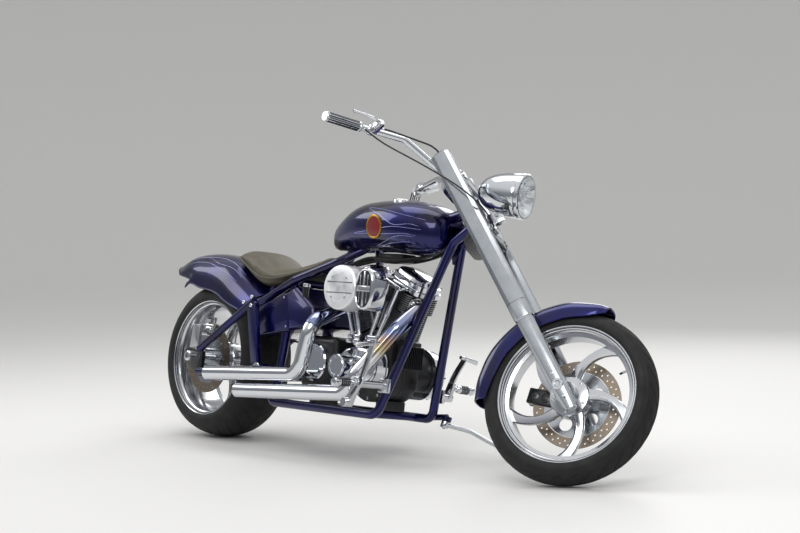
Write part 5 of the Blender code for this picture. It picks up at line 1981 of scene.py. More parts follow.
class SideStand(Assembly):
    """The folding side stand with its foot."""

    PIVOT = (1.195, 0.172, 0.160)
    AXIS = Vector((0.10, 0.25, 0.96)).normalized()
    COLLAR = 0.026

    def build(self) -> None:
        """Builds the stand about its pivot."""
        place = self.shop.stance.stand
        stand = self.shop.piece("folding_side_stand", place, Body.STAND, "chrome_plated_steel")
        row = place.to_3x3().row[2]
        spot = Vector((1.500 - self.PIVOT[0], 0.285 - self.PIVOT[1], 0))
        ground = -(place.translation.z + row[0] * spot.x + row[1] * spot.y) / row[2]
        foot = Vector((spot.x, spot.y, ground + 0.0125))
        knee = foot * 0.30 + Vector((0, 0.020, 0.012))
        stand.tube(bent([(0, 0, 0), knee, foot], 0.05, 12), 0.0085, 24)
        toe = bent([foot, foot + Vector((0.030, 0.030, 0)), foot + Vector((0.0, 0.060, 0.008))], 0.012, 8)
        stand.tube(toe, 0.0068, 20)
        half = self.COLLAR / 2
        collar = mirrored([(0.0064, -half), (0.0155, -half), (0.0160, -half + 0.001)])
        stand.lathe(collar, turn_to(self.AXIS), 32, closed=True)
        stand.done("side_stand")


# Bodywork


class FuelTank(Assembly):
    """The teardrop tank with its cap, plain roundels and flame pinstripes."""

    TUNNEL = 0.0315
    STATIONS = (
        # x, half-width, low, high
        (0.672, 0.018, 0.798, 0.826),
        (0.682, 0.040, 0.793, 0.848),
        (0.705, 0.065, 0.790, 0.880),
        (0.745, 0.092, 0.790, 0.916),
        (0.855, 0.130, 0.796, 0.974),
        (0.965, 0.148, 0.800, 0.995),
        (1.130, 0.152, 0.790, 0.998),
        (1.235, 0.132, 0.788, 0.982),
        (1.300, 0.098, 0.800, 0.955),
        (1.325, 0.070, 0.814, 0.936),
        (1.335, 0.045, 0.830, 0.920),
    )
    POWER = 2.4
    ROUNDEL = (1.045, 0.884)
    # start x and z, length, rise of the tip
    FLAMES = ((1.285, 0.905, 0.30, 0.052), (1.275, 0.868, 0.36, -0.010), (1.270, 0.838, 0.26, -0.026))

    def build(self) -> None:
        """Builds the tank and its artwork."""
        self.lines = between(self.STATIONS, 8)
        tank = self.shop.chassis("teardrop_fuel_tank", "candy_blue_lacquer")
        rings = []
        for x, wide, middle, half in self.lines:
            rings.append([self.tunnelled(x, a, middle + b) for a, b in oval(wide, half, self.POWER, 96)])
        tank.loft(rings)
        tank.use("chrome_plated_steel")
        cap = [
            (0.0330, -0.012), (0.0330, 0.002), (0.0300, 0.004), (0.0300, 0.020), (0.0285, 0.0255),
            (0.0240, 0.0285), (0, 0.0295)
        ]
        tank.lathe(cap, Matrix.Translation((1.08, -0.060, 0.972)), 56)
        for side in Side:
            self.roundel(tank, side)
        tank.done("fuel_tank", sharp=50)
        stripes = self.shop.chassis("tank_flame_pinstripes", "pinstripe_enamel", "blue_paint")
        for side in Side:
            for x, z, reach, lift in self.FLAMES:
                self.flame(stripes, side.value, x, z, reach, lift)
        stripes.done()

    def tunnelled(self, x: float, y: float, z: float) -> Vector:
        """Lifts the tank's underside over the backbone."""
        roof = 0.905 + (x - 1.05) * 0.24
        edge = min(1.0, max(0.0, (self.TUNNEL + 0.008 - abs(y)) / 0.008))
        low = z < 0.86
        return Vector((x, y, z + (max(z, min(roof, 0.905)) - z) * edge if low else z))

    def skin(self, x: float, z: float) -> float:
        """Half-width of the tank's side at one place, or nought above or below it.

        Args:
            x: place along the chassis.
            z: height.

        Returns:
            Distance of the side from the middle plane.
        """
        _, wide, middle, half = min(self.lines, key=lambda row: abs(row[0] - x))
        share = abs(z - middle) / half
        return wide * (1 - share**self.POWER) ** (1 / self.POWER) if share < 0.98 else 0.0

    def roundel(self, tank: Piece, side: Side) -> None:
        """A plain red disc with a gold ring, laid on the tank's side.

        Args:
            tank: the piece.
            side: which side.
        """
        x, z = self.ROUNDEL
        middle = Vector((x, side.value * self.skin(x, z), z))
        slope = (self.skin(x, z + 0.02) - self.skin(x, z - 0.02)) / 0.04
        swing = (self.skin(x + 0.03, z) - self.skin(x - 0.03, z)) / 0.06
        place = turn_to((-swing, side.value, -slope), middle)
        tank.use("gilded_brass")
        rim = [(0.0450, -0.006), (0.0455, 0.0012), (0.0435, 0.0026)]
        rim += [(0.0400, 0.0026), (0.0388, 0.0016), (0.0388, -0.006)]
        tank.lathe(rim, place, 64)
        tank.use("red_vitreous_enamel")
        tank.lathe([(0.0390, 0.0010), (0.0320, 0.0019), (0, 0.0024)], place, 64)

    def flame(self, stripes: Piece, side: int, x: float, z: float, reach: float, lift: float) -> None:
        """One lick of flame: a curled line out to a point and back.

        Args:
            stripes: the piece.
            side: sign of its Y.
            x: where it starts, at the tank's nose.
            z: its height there.
            reach: how far back it runs.
            lift: how far its tip rises.
        """
        route = [
            (x, z + 0.012), (x - reach * 0.35, z + 0.020 + lift * 0.2),
            (x - reach * 0.7, z + 0.010 + lift * 0.7), (x - reach, z + lift)
        ]
        route += [
            (x - reach * 0.72, z - 0.004 + lift * 0.55), (x - reach * 0.45, z - 0.010),
            (x - reach * 0.2, z - 0.006), (x - 0.02, z - 0.012)
        ]
        line = flowing([(a, 0, b) for a, b in route], 10)
        on_skin = [
            Vector((p.x, side * (self.skin(p.x, p.z) + 0.0002), p.z)) for p in line
            if self.skin(p.x, p.z) > 0.02
        ]
        stripes.tube(on_skin, lambda share: 0.0007 + 0.0006 * sin(pi * share), 8)


class RearFender(Assembly):
    """The rear fender with its rolled edge, strut bolts, tail lamp and pinstripes."""

    SHAPE = FenderShape(
        (
            (-0.310, 0.703, 100, 0.131, 0.098),
            (-0.205, 0.748, 100, 0.136, 0.127),
            (-0.073, 0.762, 92, 0.139, 0.154),
            (0.035, 0.752, 82, 0.143, 0.154),
            (0.130, 0.724, 70, 0.147, 0.149),
            (0.215, 0.678, 56, 0.149, 0.144),
            (0.344, 0.612, 38, 0.151, 0.136),
        ),
        0.75,
        0.8,
    )
    NOTCH = (
        (0.0, 0.112), (0.10, 0.128), (0.17, 0.152), (0.24, 0.110), (0.30, 0.058), (0.55, 0.022), (1.0, 0.0)
    )
    ALONG = 10
    # share across the sheet, swing, waves
    STRIPES = ((0.20, 0.035, 1.0), (0.27, 0.050, 1.4), (0.33, -0.030, 1.2))

    def build(self) -> None:
        """Builds the fender and its lamp."""
        rows = self.SHAPE.rows(self.ALONG, 56)
        for r, row in enumerate(rows):
            fade = max(0.0, 1 - r / (self.ALONG * 2.0)) ** 1.3
            for i, spot in enumerate(row):
                spot.x += fade * self.pull(1 - abs(2 * i / (len(row) - 1) - 1))
        fender = self.shop.chassis("notched_rear_fender", "candy_blue_lacquer")
        fender.add(*side_sheet(rows, 0.003))
        for column in (0, -1):
            edge = [row[column] + Vector((0, 0, 0.002)) for row in rows]
            fender.tube(edge, 0.0034, 12)
        fender.tube(rows[0], 0.0030, 12)
        fender.tube(rows[-1], 0.0030, 12)
        fender.use("chrome_plated_steel")
        for side in Side:
            for x, z in ((0.266, 0.561), (0.318, 0.585)):
                spot = Vector((x, side.value * 0.1465, z))
                fender.bolt(spot, (0.2, side.value, 0.1), 0.0085, 0.0060)
        fender.done("rear_fender", sharp=50)
        self.stripes(rows)
        self.lamp(rows)

    def pull(self, share: float) -> float:
        """How far ahead the tail's edge is drawn, from the skirt (0) to the crown (1)."""
        for (low, a), (high, b) in zip(self.NOTCH, self.NOTCH[1:]):
            if share <= high:
                step = (share - low) / (high - low)
                return a + (b - a) * step
        return 0.0

    def stripes(self, rows: list[Ring]) -> None:
        """Pinstripes that flow along the fender's shoulders.

        Args:
            rows: points over the fender.
        """
        stripes = self.shop.chassis("fender_pinstripes", "pinstripe_enamel", "blue_paint")
        wide = len(rows[0]) - 1
        first, last = self.ALONG, len(rows) - self.ALONG - 2
        for side in (0, 1):
            for base, swing, turns in self.STRIPES:
                line = []
                for r in range(first, last):
                    share = (r - first) / (last - first)
                    column = (base + swing * sin(tau * turns * share) * (1 - share)) * wide
                    column = column if side == 0 else wide - column
                    low = int(column)
                    spot = rows[r][low].lerp(rows[r][low + 1], column - low)
                    out = (spot - Vector((spot.x, 0, spot.z - 0.10))).normalized()
                    line.append(spot + out * 0.0004)
                stripes.tube(line, lambda share: 0.0006 + 0.0006 * sin(pi * share), 8)
        stripes.done()

    def lamp(self, rows: list[Ring]) -> None:
        """The low oval tail lamp on the fender's crown.

        Args:
            rows: points over the fender.
        """
        middle = len(rows[0]) // 2
        spot = rows[4][middle]
        way = rows[6][middle] - rows[2][middle]
        up = Vector((-way.z, 0, way.x)).normalized()
        side = Vector((0, 1, 0))
        place = Matrix.Translation(spot) @ Matrix((side.cross(up), side, up)).transposed().to_4x4()
        lamp = self.shop.chassis("oval_tail_lamp", "chrome_plated_steel", "tail_lens")
        base = [
            [(a, b, z) for a, b in oval(0.0215 - i, 0.0355 - i, 2.6, 48)] for z,
            i in ((-0.006, 0), (0.003, 0), (0.0045, 0.0015))
        ]
        lamp.loft(base, place)
        lamp.use("moulded_red_acrylic")
        lens = [(0.0040, 0.0020), (0.0090, 0.0022), (0.0120, 0.0045), (0.0135, 0.0090), (0.0140, 0.0150)]
        lamp.loft([[(a, b, z) for a, b in oval(0.0215 - i, 0.0355 - i, 2.6, 48)] for z, i in lens], place)
        lamp.done("tail_lamp")


class OilTank(Assembly):
    """The oil tank and side covers under the seat, with the filler on the right."""

    OUTLINE = (
        (0.387, 0.430), (0.593, 0.463), (0.735, 0.488), (0.722, 0.560), (0.600, 0.638), (0.553, 0.620),
        (0.348, 0.540)
    )

    def build(self) -> None:
        """Builds the tank with a creased panel on each side."""
        tank = self.shop.chassis("oil_tank_and_side_covers", "candy_blue_lacquer")
        outline = rounded(self.OUTLINE, 0.014, 8)
        middle = Vector((0.55, 0.53))
        rings = []
        for y, inset in (
            (-0.154, 0.016), (-0.152, 0.011), (-0.145, 0.003), (-0.138, 0), (0.138, 0), (0.145, 0.003),
            (0.152, 0.011), (0.154, 0.016)
        ):
            ring = []
            for x, z in outline:
                pull = Vector((x, z)) - middle
                pull *= 1 - inset / pull.length
                ring.append((middle.x + pull.x, y, middle.y + pull.y))
            rings.append(ring)
        tank.loft(rings)
        panel = rounded([(0.352, 0.535), (0.393, 0.436), (0.590, 0.470), (0.552, 0.612)], 0.012, 6)
        for side in Side:
            tank.plate(panel, 0.008, at_side(side.value * 0.1525), 0.0025)
        tank.use("zinc_plated_steel")
        for side in Side:
            for x, z in ((0.408, 0.452), (0.568, 0.478), (0.540, 0.592), (0.378, 0.524)):
                tank.bolt((x, side.value * 0.1562, z), side.out, 0.0045, 0.0022)
        tank.use("black_stove_enamel")
        tank.lathe([(0.0125, 0), (0.0125, 0.075)], turn_to((0.05, 0, 1), (0.648, -0.136, 0.568)), 36)
        tank.use("chrome_plated_steel")
        cap = [(0.0150, 0), (0.0155, 0.002), (0.0155, 0.010), (0.0135, 0.013), (0, 0.014)]
        tank.lathe(cap, turn_to((0.05, 0, 1), (0.6515, -0.136, 0.640)), 12)
        tank.done("oil_tank")


class Saddle(Assembly):
    """The low solo saddle: padded hide over its pan, with a welt round the edge."""

    STATIONS = (
        # x, half-width, low, high
        (0.108, 0.052, 0.742, 0.758),
        (0.150, 0.103, 0.738, 0.771),
        (0.215, 0.120, 0.702, 0.773),
        (0.275, 0.124, 0.660, 0.762),
        (0.330, 0.124, 0.634, 0.734),
        (0.400, 0.118, 0.640, 0.705),
        (0.490, 0.104, 0.668, 0.710),
        (0.580, 0.080, 0.698, 0.738),
        (0.645, 0.056, 0.727, 0.770),
        (0.662, 0.036, 0.749, 0.773),
    )
    DROOP = 0.042
    BACK = 0.12
    FRONT = 0.36
    FLANK = 0.35
    CAP = 0.006
    VOXEL = 0.0055
    STEPS = 20
    PRESSURE = 4.0

    def build(self) -> None:
        """Builds the padded saddle and its welt."""
        saddle = self.shop.chassis("padded_solo_saddle", "saddle_hide_olive")
        rings = []
        welts: dict[int, Ring] = {-1: [], 1: []}
        for x, wide, middle, half in between(self.STATIONS, 6):
            astride = self.DROOP * max(0.0, min(1.0, (self.FRONT - x) / 0.10, (x - self.BACK) / 0.08))
            ring = []
            for a, b in oval(wide, half, 2.8, 64):
                fall = astride * max(0.0, abs(a) / wide - self.FLANK) ** 1.5 * (1.0 if b < 0 else self.FLANK)
                ring.append((x, a, middle + b - fall))
            rings.append(ring)
            for sign in (-1, 1):
                welts[sign].append(Vector((x, sign * wide * 1.004, middle - half * 0.18 - astride * 0.30)))
        saddle.loft(rings)
        body = saddle.done("seat", sharp=180)
        self.plump(body)
        trim = self.shop.chassis("saddle_welt", "saddle_hide_olive")
        trim.tube([*welts[-1], *reversed(welts[1]), welts[-1][0]], 0.0026, 12)
        trim.done()

    def plump(self, body: bpy.types.Object) -> None:
        """Swells the saddle by simulated pressure, so that the hide stands off its pan as padding does.

        Args:
            body: the saddle's object.
        """
        rest = body.data.copy()
        remesh = body.modifiers.new("even", "REMESH")
        remesh.mode = "VOXEL"
        remesh.voxel_size = self.VOXEL
        self.apply(body)
        before = [vertex.co.copy() for vertex in body.data.vertices]
        cloth = body.modifiers.new("hide", "CLOTH")
        cloth.settings.use_pressure = True
        cloth.settings.uniform_pressure_force = self.PRESSURE
        cloth.settings.effector_weights.gravity = 0.0
        cloth.settings.quality = 4
        scene = bpy.context.scene
        for step in range(1, self.STEPS + 1):
            scene.frame_set(step)
        self.apply(body)
        scene.frame_set(1)
        for vertex, start in zip(body.data.vertices, before):
            move = vertex.co - start
            if move.length > self.CAP:
                vertex.co = start + move.normalized() * self.CAP
        back = self.shop.stance.chassis.inverted()
        own = body.data.attributes.get(OWN_PLACE) or body.data.attributes.new(
            OWN_PLACE, "FLOAT_VECTOR", "POINT"
        )
        own.data.foreach_set("vector", [value for vertex in body.data.vertices for value in back @ vertex.co])
        body.data.materials.clear()
        body.data.materials.append(rest.materials[0])
        body.data.shade_smooth()
        bpy.data.meshes.remove(rest)

    @staticmethod
    def apply(body: bpy.types.Object) -> None:
        """Replaces the object's mesh by what its modifiers make of it."""
        graph = bpy.context.evaluated_depsgraph_get()
        mesh = bpy.data.meshes.new_from_object(body.evaluated_get(graph))
        body.modifiers.clear()
        body.data = mesh


# Controls and cables


class FootControls(Assembly):
    """The forward controls: peg, slotted pedal arm and toe pad on each side."""

    SETS = (
        # side, reach, pivot, mount, lug's y, peg, elbow, toe
        (
            Side.RIGHT, 0.285, (1.162, 0.216), (1.195, 0.288), 0.1428, (1.200, 0.292), (1.232, 0.300),
            (1.285, 0.446)
        ),
        (
            Side.LEFT, 0.200, (1.150, 0.262), (1.165, 0.265), 0.1468, (1.185, 0.300), (1.172, 0.335),
            (1.231, 0.422)
        ),
    )

    def build(self) -> None:
        """Builds both sides."""
        for numbers in self.SETS:
            self.side(*numbers)

    def side(
        self, side: Side, reach: float, pivot: Point, mount: Point, lug_y: float, peg: Point, elbow: Point,
        toe: Point
    ) -> None:
        """One side's control set; the flat points are (x, z).

        Args:
            side: which side.
            reach: how far out the pedal's plane lies.
            pivot: the pedal's pivot.
            mount: where the bracket meets the frame.
            lug_y: how far out the frame lug starts.
            peg: root of the peg.
            elbow: bend of the pedal arm.
            toe: end of the pedal arm.
        """
        way = side.value
        node = f"{side.word}_control"
        control = self.shop.chassis(f"{side.word}_forward_control", "polished_cast_aluminium")
        control.box((0.058, 0.014, 0.054), (mount[0], way * (lug_y + 0.0072), mount[1]), 0.004)
        control.rod((mount[0], way * (lug_y + 0.004), mount[1]), (mount[0], way * reach, mount[1]), 0.0148)
        web = [(pivot[0] - 0.014, pivot[1] - 0.010), (pivot[0] + 0.014, pivot[1] - 0.012)]
        web += [(mount[0] + 0.018, mount[1] - 0.004), (peg[0] + 0.016, peg[1] + 0.020)]
        web += [(peg[0] - 0.016, peg[1] + 0.022), (mount[0] - 0.026, mount[1] - 0.010)]
        control.plate(rounded(web, 0.008), 0.0155, at_side(way * reach), 0.002)
        control.use("zinc_plated_steel")
        for x, z in ((pivot[0], pivot[1]), (mount[0], mount[1])):
            control.nut((x, way * (reach + 0.008), z), (0, way, 0), 0.010, 0.005)
        control.use("chrome_plated_steel")
        root = Vector((peg[0], way * (reach + 0.008), peg[1]))
        tip = Vector((peg[0] - 0.005, way * (reach + 0.114), peg[1] - 0.005))
        long = (tip - root).length
        barrel = [
            (0.0095, 0), (0.0095, 0.014), (0.0135, 0.018), (0.0150, 0.030), (0.0150, long - 0.024),
            (0.0165, long - 0.020)
        ]
        barrel += [(0.0178, long - 0.010), (0.0150, long - 0.002), (0, long)]
        control.lathe(barrel, turn_to(tip - root, root), 40)
        control.use("neoprene_rubber")
        for k in range(5):
            low = 0.034 + k * (long - 0.064) / 5
            band = [(0.0148, low), (0.0162, low + 0.001), (0.0162, low + 0.006), (0.0148, low + 0.007)]
            control.lathe(band, turn_to(tip - root, root), 40)
        self.pedal(control, way, reach, pivot, elbow, toe)
        control.done(node)

    def pedal(self, control: Piece, way: int, reach: float, pivot: Point, elbow: Point, toe: Point) -> None:
        """The pedal: a flat arm with two black rods laid along it as painted shade of its two slots, its
        pivot roller and the toe pad.

        Args:
            control: the piece.
            way: sign of its Y.
            reach: how far out it lies.
            pivot: its pivot, (x, z).
            elbow: its bend.
            toe: its end.
        """
        control.use("polished_cast_aluminium")
        line = flowing([(p[0], 0, p[1]) for p in (pivot, elbow, toe)], 10)
        left, right = [], []
        for i, spot in enumerate(line):
            along = (line[min(i + 1, len(line) - 1)] - line[max(i - 1, 0)]).normalized()
            across = Vector((-along.z, 0, along.x))
            half = 0.0165 - 0.0050 * i / (len(line) - 1)
            left.append((spot.x + across.x * half, spot.z + across.z * half))
            right.append((spot.x - across.x * half, spot.z - across.z * half))
        control.plate([*left, *reversed(right)], 0.0085, at_side(way * (reach + 0.014)), 0.0015)
        # painted shade: no slots are cut; two half-sunk black enamel rods along the arm stand in for the
        # shade in them
        control.use("black_stove_enamel")
        for start, stop in ((0.22, 0.42), (0.52, 0.80)):
            low, high = line[int(start * (len(line) - 1))], line[int(stop * (len(line) - 1))]
            y = way * (reach + 0.0183)
            control.tube([(low.x, y, low.z), (high.x, y, high.z)], 0.0034, 10)
        control.use("chrome_plated_steel")
        control.rod(
            (pivot[0], way * (reach - 0.010), pivot[1]), (pivot[0], way * (reach + 0.030), pivot[1]), 0.0175,
            sides=36, edge=0.002
        )
        start, stop = Vector((toe[0], way * (reach - 0.012), toe[1])), Vector(
            (toe[0] - 0.012, way * (reach + 0.084), toe[1] - 0.018)
        )
        control.rod(start, stop, 0.0075, sides=32)
        control.use("polished_cast_aluminium")
        pad = turn_to(stop - start, start.lerp(stop, 0.58) + Vector((-0.008, 0, 0.004)))
        control.box((0.034, 0.010, 0.078), (0, 0, 0), 0.0035, pad, 3)


class Cables(Assembly):
    """Throttle cable and brake hose with their ferrules, held all the way along the fork."""

    THROTTLE = (
        (-0.2000, -0.2895, 1.2297), (-0.190, -0.285, 1.210), (-0.172, -0.265, 1.175), (-0.145, -0.245, 1.132),
        (-0.085, -0.200, 1.053), (-0.034, -0.177, 0.976), (0.016, -0.179, 0.885), (0.050, -0.164, 0.810),
        (0.064, -0.130, 0.765), (0.064, -0.085, 0.732), (0.056, -0.057, 0.7225), (0.0462, -0.053, 0.7225),
    )
    BRAKE = (
        (-0.1425, -0.2610, 1.2100), (-0.120, -0.250, 1.192), (-0.095, -0.235, 1.169), (-0.054, -0.195, 1.137),
        (-0.014, -0.145, 1.106), (-0.001, -0.100, 1.066), (-0.002, -0.086, 1.030), (-0.002, -0.085, 1.0008),
    )

    def build(self) -> None:
        """Builds both."""
        for name, route, radius in (
            ("sheathed_throttle_cable", self.THROTTLE, 0.0030), ("sheathed_brake_hose", self.BRAKE, 0.0034)
        ):
            line = flowing(route, 10)
            cord = self.shop.fork(name, "neoprene_rubber", "black_paint")
            cord.tube(line, radius, 14)
            cord.use("chrome_plated_steel")
            for end, inner in ((line[0], line[3]), (line[-1], line[-4])):
                cord.rod(end, inner, radius + 0.0012, sides=18)
            cord.done()


# Engine


def bank_frame(bank: int) -> Matrix:
    """Frame of one cylinder: its Z up the bore from the crankshaft; bank 1 leans ahead and -1 back."""
    return Matrix.Translation(CRANK) @ Matrix.Rotation(bank * BANK_ANGLE, 4, "Y")


class Cylinders(Assembly):
    """The two finned cylinders with their heads, rocker boxes and pushrod tubes."""

    BASE = 0.151
    SPIGOT = 0.258
    HEAD = 0.268
    TOP = 0.345
    FIN_PITCH = 0.0082
    FIN_GAP = 0.0025
    PUSHROD_Y = -0.112

    def build(self) -> None:
        """Builds both banks."""
        for bank, word in ((1, "front"), (-1, "rear")):
            self.cylinder(bank, word)
            self.rocker_box(bank, word)
            self.pushrods(bank, word)

    def cylinder(self, bank: int, word: str) -> None:
        """Barrel and head with thin separate fins, their rims machined bright.

        Args:
            bank: 1 for the front cylinder and -1 for the rear one.
            word: its name.
        """
        place = bank_frame(bank)
        piece = self.shop.chassis(f"{word}_finned_cylinder", "black_coated_casting")
        piece.lathe([(0, self.BASE), (0.054, self.BASE), (0.054, self.TOP), (0, self.TOP)], place, 40)
        height = self.BASE + 0.006
        while height < self.TOP - 0.006:
            head = height > self.HEAD
            if not self.SPIGOT < height < self.HEAD:
                self.fin(piece, place, bank, height, (0.081, 0.087) if head else (0.071, 0.073))
            height += self.FIN_PITCH
        for x in (-0.050, 0.050):
            for y in (-0.062, 0.062):
                foot = Vector((x, y, self.BASE + 0.004))
                piece.use("zinc_plated_steel").rod(
                    place @ foot, place @ Vector((x, y, self.SPIGOT + 0.008)), 0.0055, sides=14
                )
        piece.done(f"{word}_cylinder")

    def fin(self, piece: Piece, place: Matrix, bank: int, height: float, half: tuple[float, float]) -> None:
        """One fin, trimmed where it meets the other bank.

        Args:
            piece: the cylinder.
            place: its frame.
            bank: 1 or -1.
            height: the fin's height along the bore.
            half: its half lengths.
        """
        for finish, inset, thick in (
            ("black_coated_casting", 0.0, 0.0011), ("machined_fin_edge", -0.0004, 0.0008)
        ):
            rings = []
            for z, grow in ((-thick, -inset), (thick, -inset)):
                ring = []
                for a, b in oval(half[0] + grow, half[1] + grow, 3.6, 56):
                    spot = place @ Vector((a, b, height + z))
                    if bank * (spot.x - CRANK.x) < self.FIN_GAP:
                        spot.x = CRANK.x + bank * self.FIN_GAP
                    ring.append(spot)
                rings.append(ring)
            piece.use(finish).loft(rings)
        piece.use("black_coated_casting")

    def rocker_box(self, bank: int, word: str) -> None:
        """The chromed two-storey rocker box with its parting lines and screws.

        Args:
            bank: 1 or -1.
            word: the cylinder's name.
        """
        place = bank_frame(bank)
        box = self.shop.chassis(f"{word}_rocker_cover", "chrome_plated_steel")
        low = self.TOP + 0.0005
        rings = []
        for rise, x, y in (
            (0, 0.0965, 0.0705), (0.001, 0.0975, 0.0715), (0.0165, 0.0975, 0.0715), (0.0180, 0.0960, 0.0700),
            (0.0185, 0.0910, 0.0655), (0.0200, 0.0905, 0.0650), (0.0210, 0.0920, 0.0665), (
                0.0390, 0.0905, 0.0655
            ),
            (0.0400, 0.0850, 0.0620), (0.0410, 0.0830, 0.0605), (0.0540, 0.0800, 0.0580), (
                0.0600, 0.0740, 0.0525
            ),
            (0.0620, 0.0660, 0.0460),
        ):
            rings.append([(a, b, low + rise) for a, b in oval(x, y, 4.5, 72)])
        box.loft(rings, place)
        box.use("zinc_plated_steel")
        for x in (-0.076, -0.026, 0.026, 0.076):
            for y in (-0.0655, 0.0655):
                box.bolt(
                    place @ Vector((x * 0.95, y * 0.95, low + 0.0385)), place.to_3x3() @ Vector((0, 0, 1)),
                    0.0048, 0.0040
                )
        for x in (-0.060, 0.060):
            box.bolt(place @ Vector((x, -0.0712, low + 0.009)), Side.RIGHT.out, 0.0060, 0.0045)
        box.done(f"{word}_rocker_box")

    def pushrods(self, bank: int, word: str) -> None:
        """Two chromed pushrod tubes with their collars, on the lifter block.

        Args:
            bank: 1 or -1.
            word: the cylinder's name.
        """
        tubes = self.shop.chassis(f"{word}_pushrod_tubes", "chrome_plated_steel")
        foot_x = CRANK.x + bank * 0.052
        tubes.box((0.077, 0.035, 0.018), (foot_x, self.PUSHROD_Y, CRANK.z + 0.100), 0.004)
        tubes.box((0.070, 0.030, 0.016), (foot_x, self.PUSHROD_Y, CRANK.z + 0.117), 0.003)
        for slot in (-1, 1):
            low = Vector((foot_x + slot * 0.020, self.PUSHROD_Y, CRANK.z + 0.122))
            high = bank_frame(bank) @ Vector((slot * 0.030, -0.108, self.TOP + 0.004))
            way = high - low
            long = way.length
            profile = [
                (0.0125, 0), (0.0125, 0.006), (0.0085, 0.008), (0.0085, long * 0.42), (0.0102, long * 0.43),
                (0.0105, long * 0.45)
            ]
            profile += [
                (0.0105, long * 0.49), (0.0092, long * 0.50), (0.0092, long - 0.010), (0.0105, long - 0.009),
                (0.0105, long)
            ]
            tubes.lathe(profile, turn_to(way, low), 28)
            tubes.bolt((foot_x + slot * 0.033, -0.1285, CRANK.z + 0.100), Side.RIGHT.out, 0.0042, 0.0035)
        place = bank_frame(bank) @ Matrix.Translation((0, -0.0960, self.TOP + 0.008))
        tubes.box((0.096, 0.0462, 0.019), (0, 0, 0), 0.005, place, 3)
        tubes.done(f"{word}_pushrods")


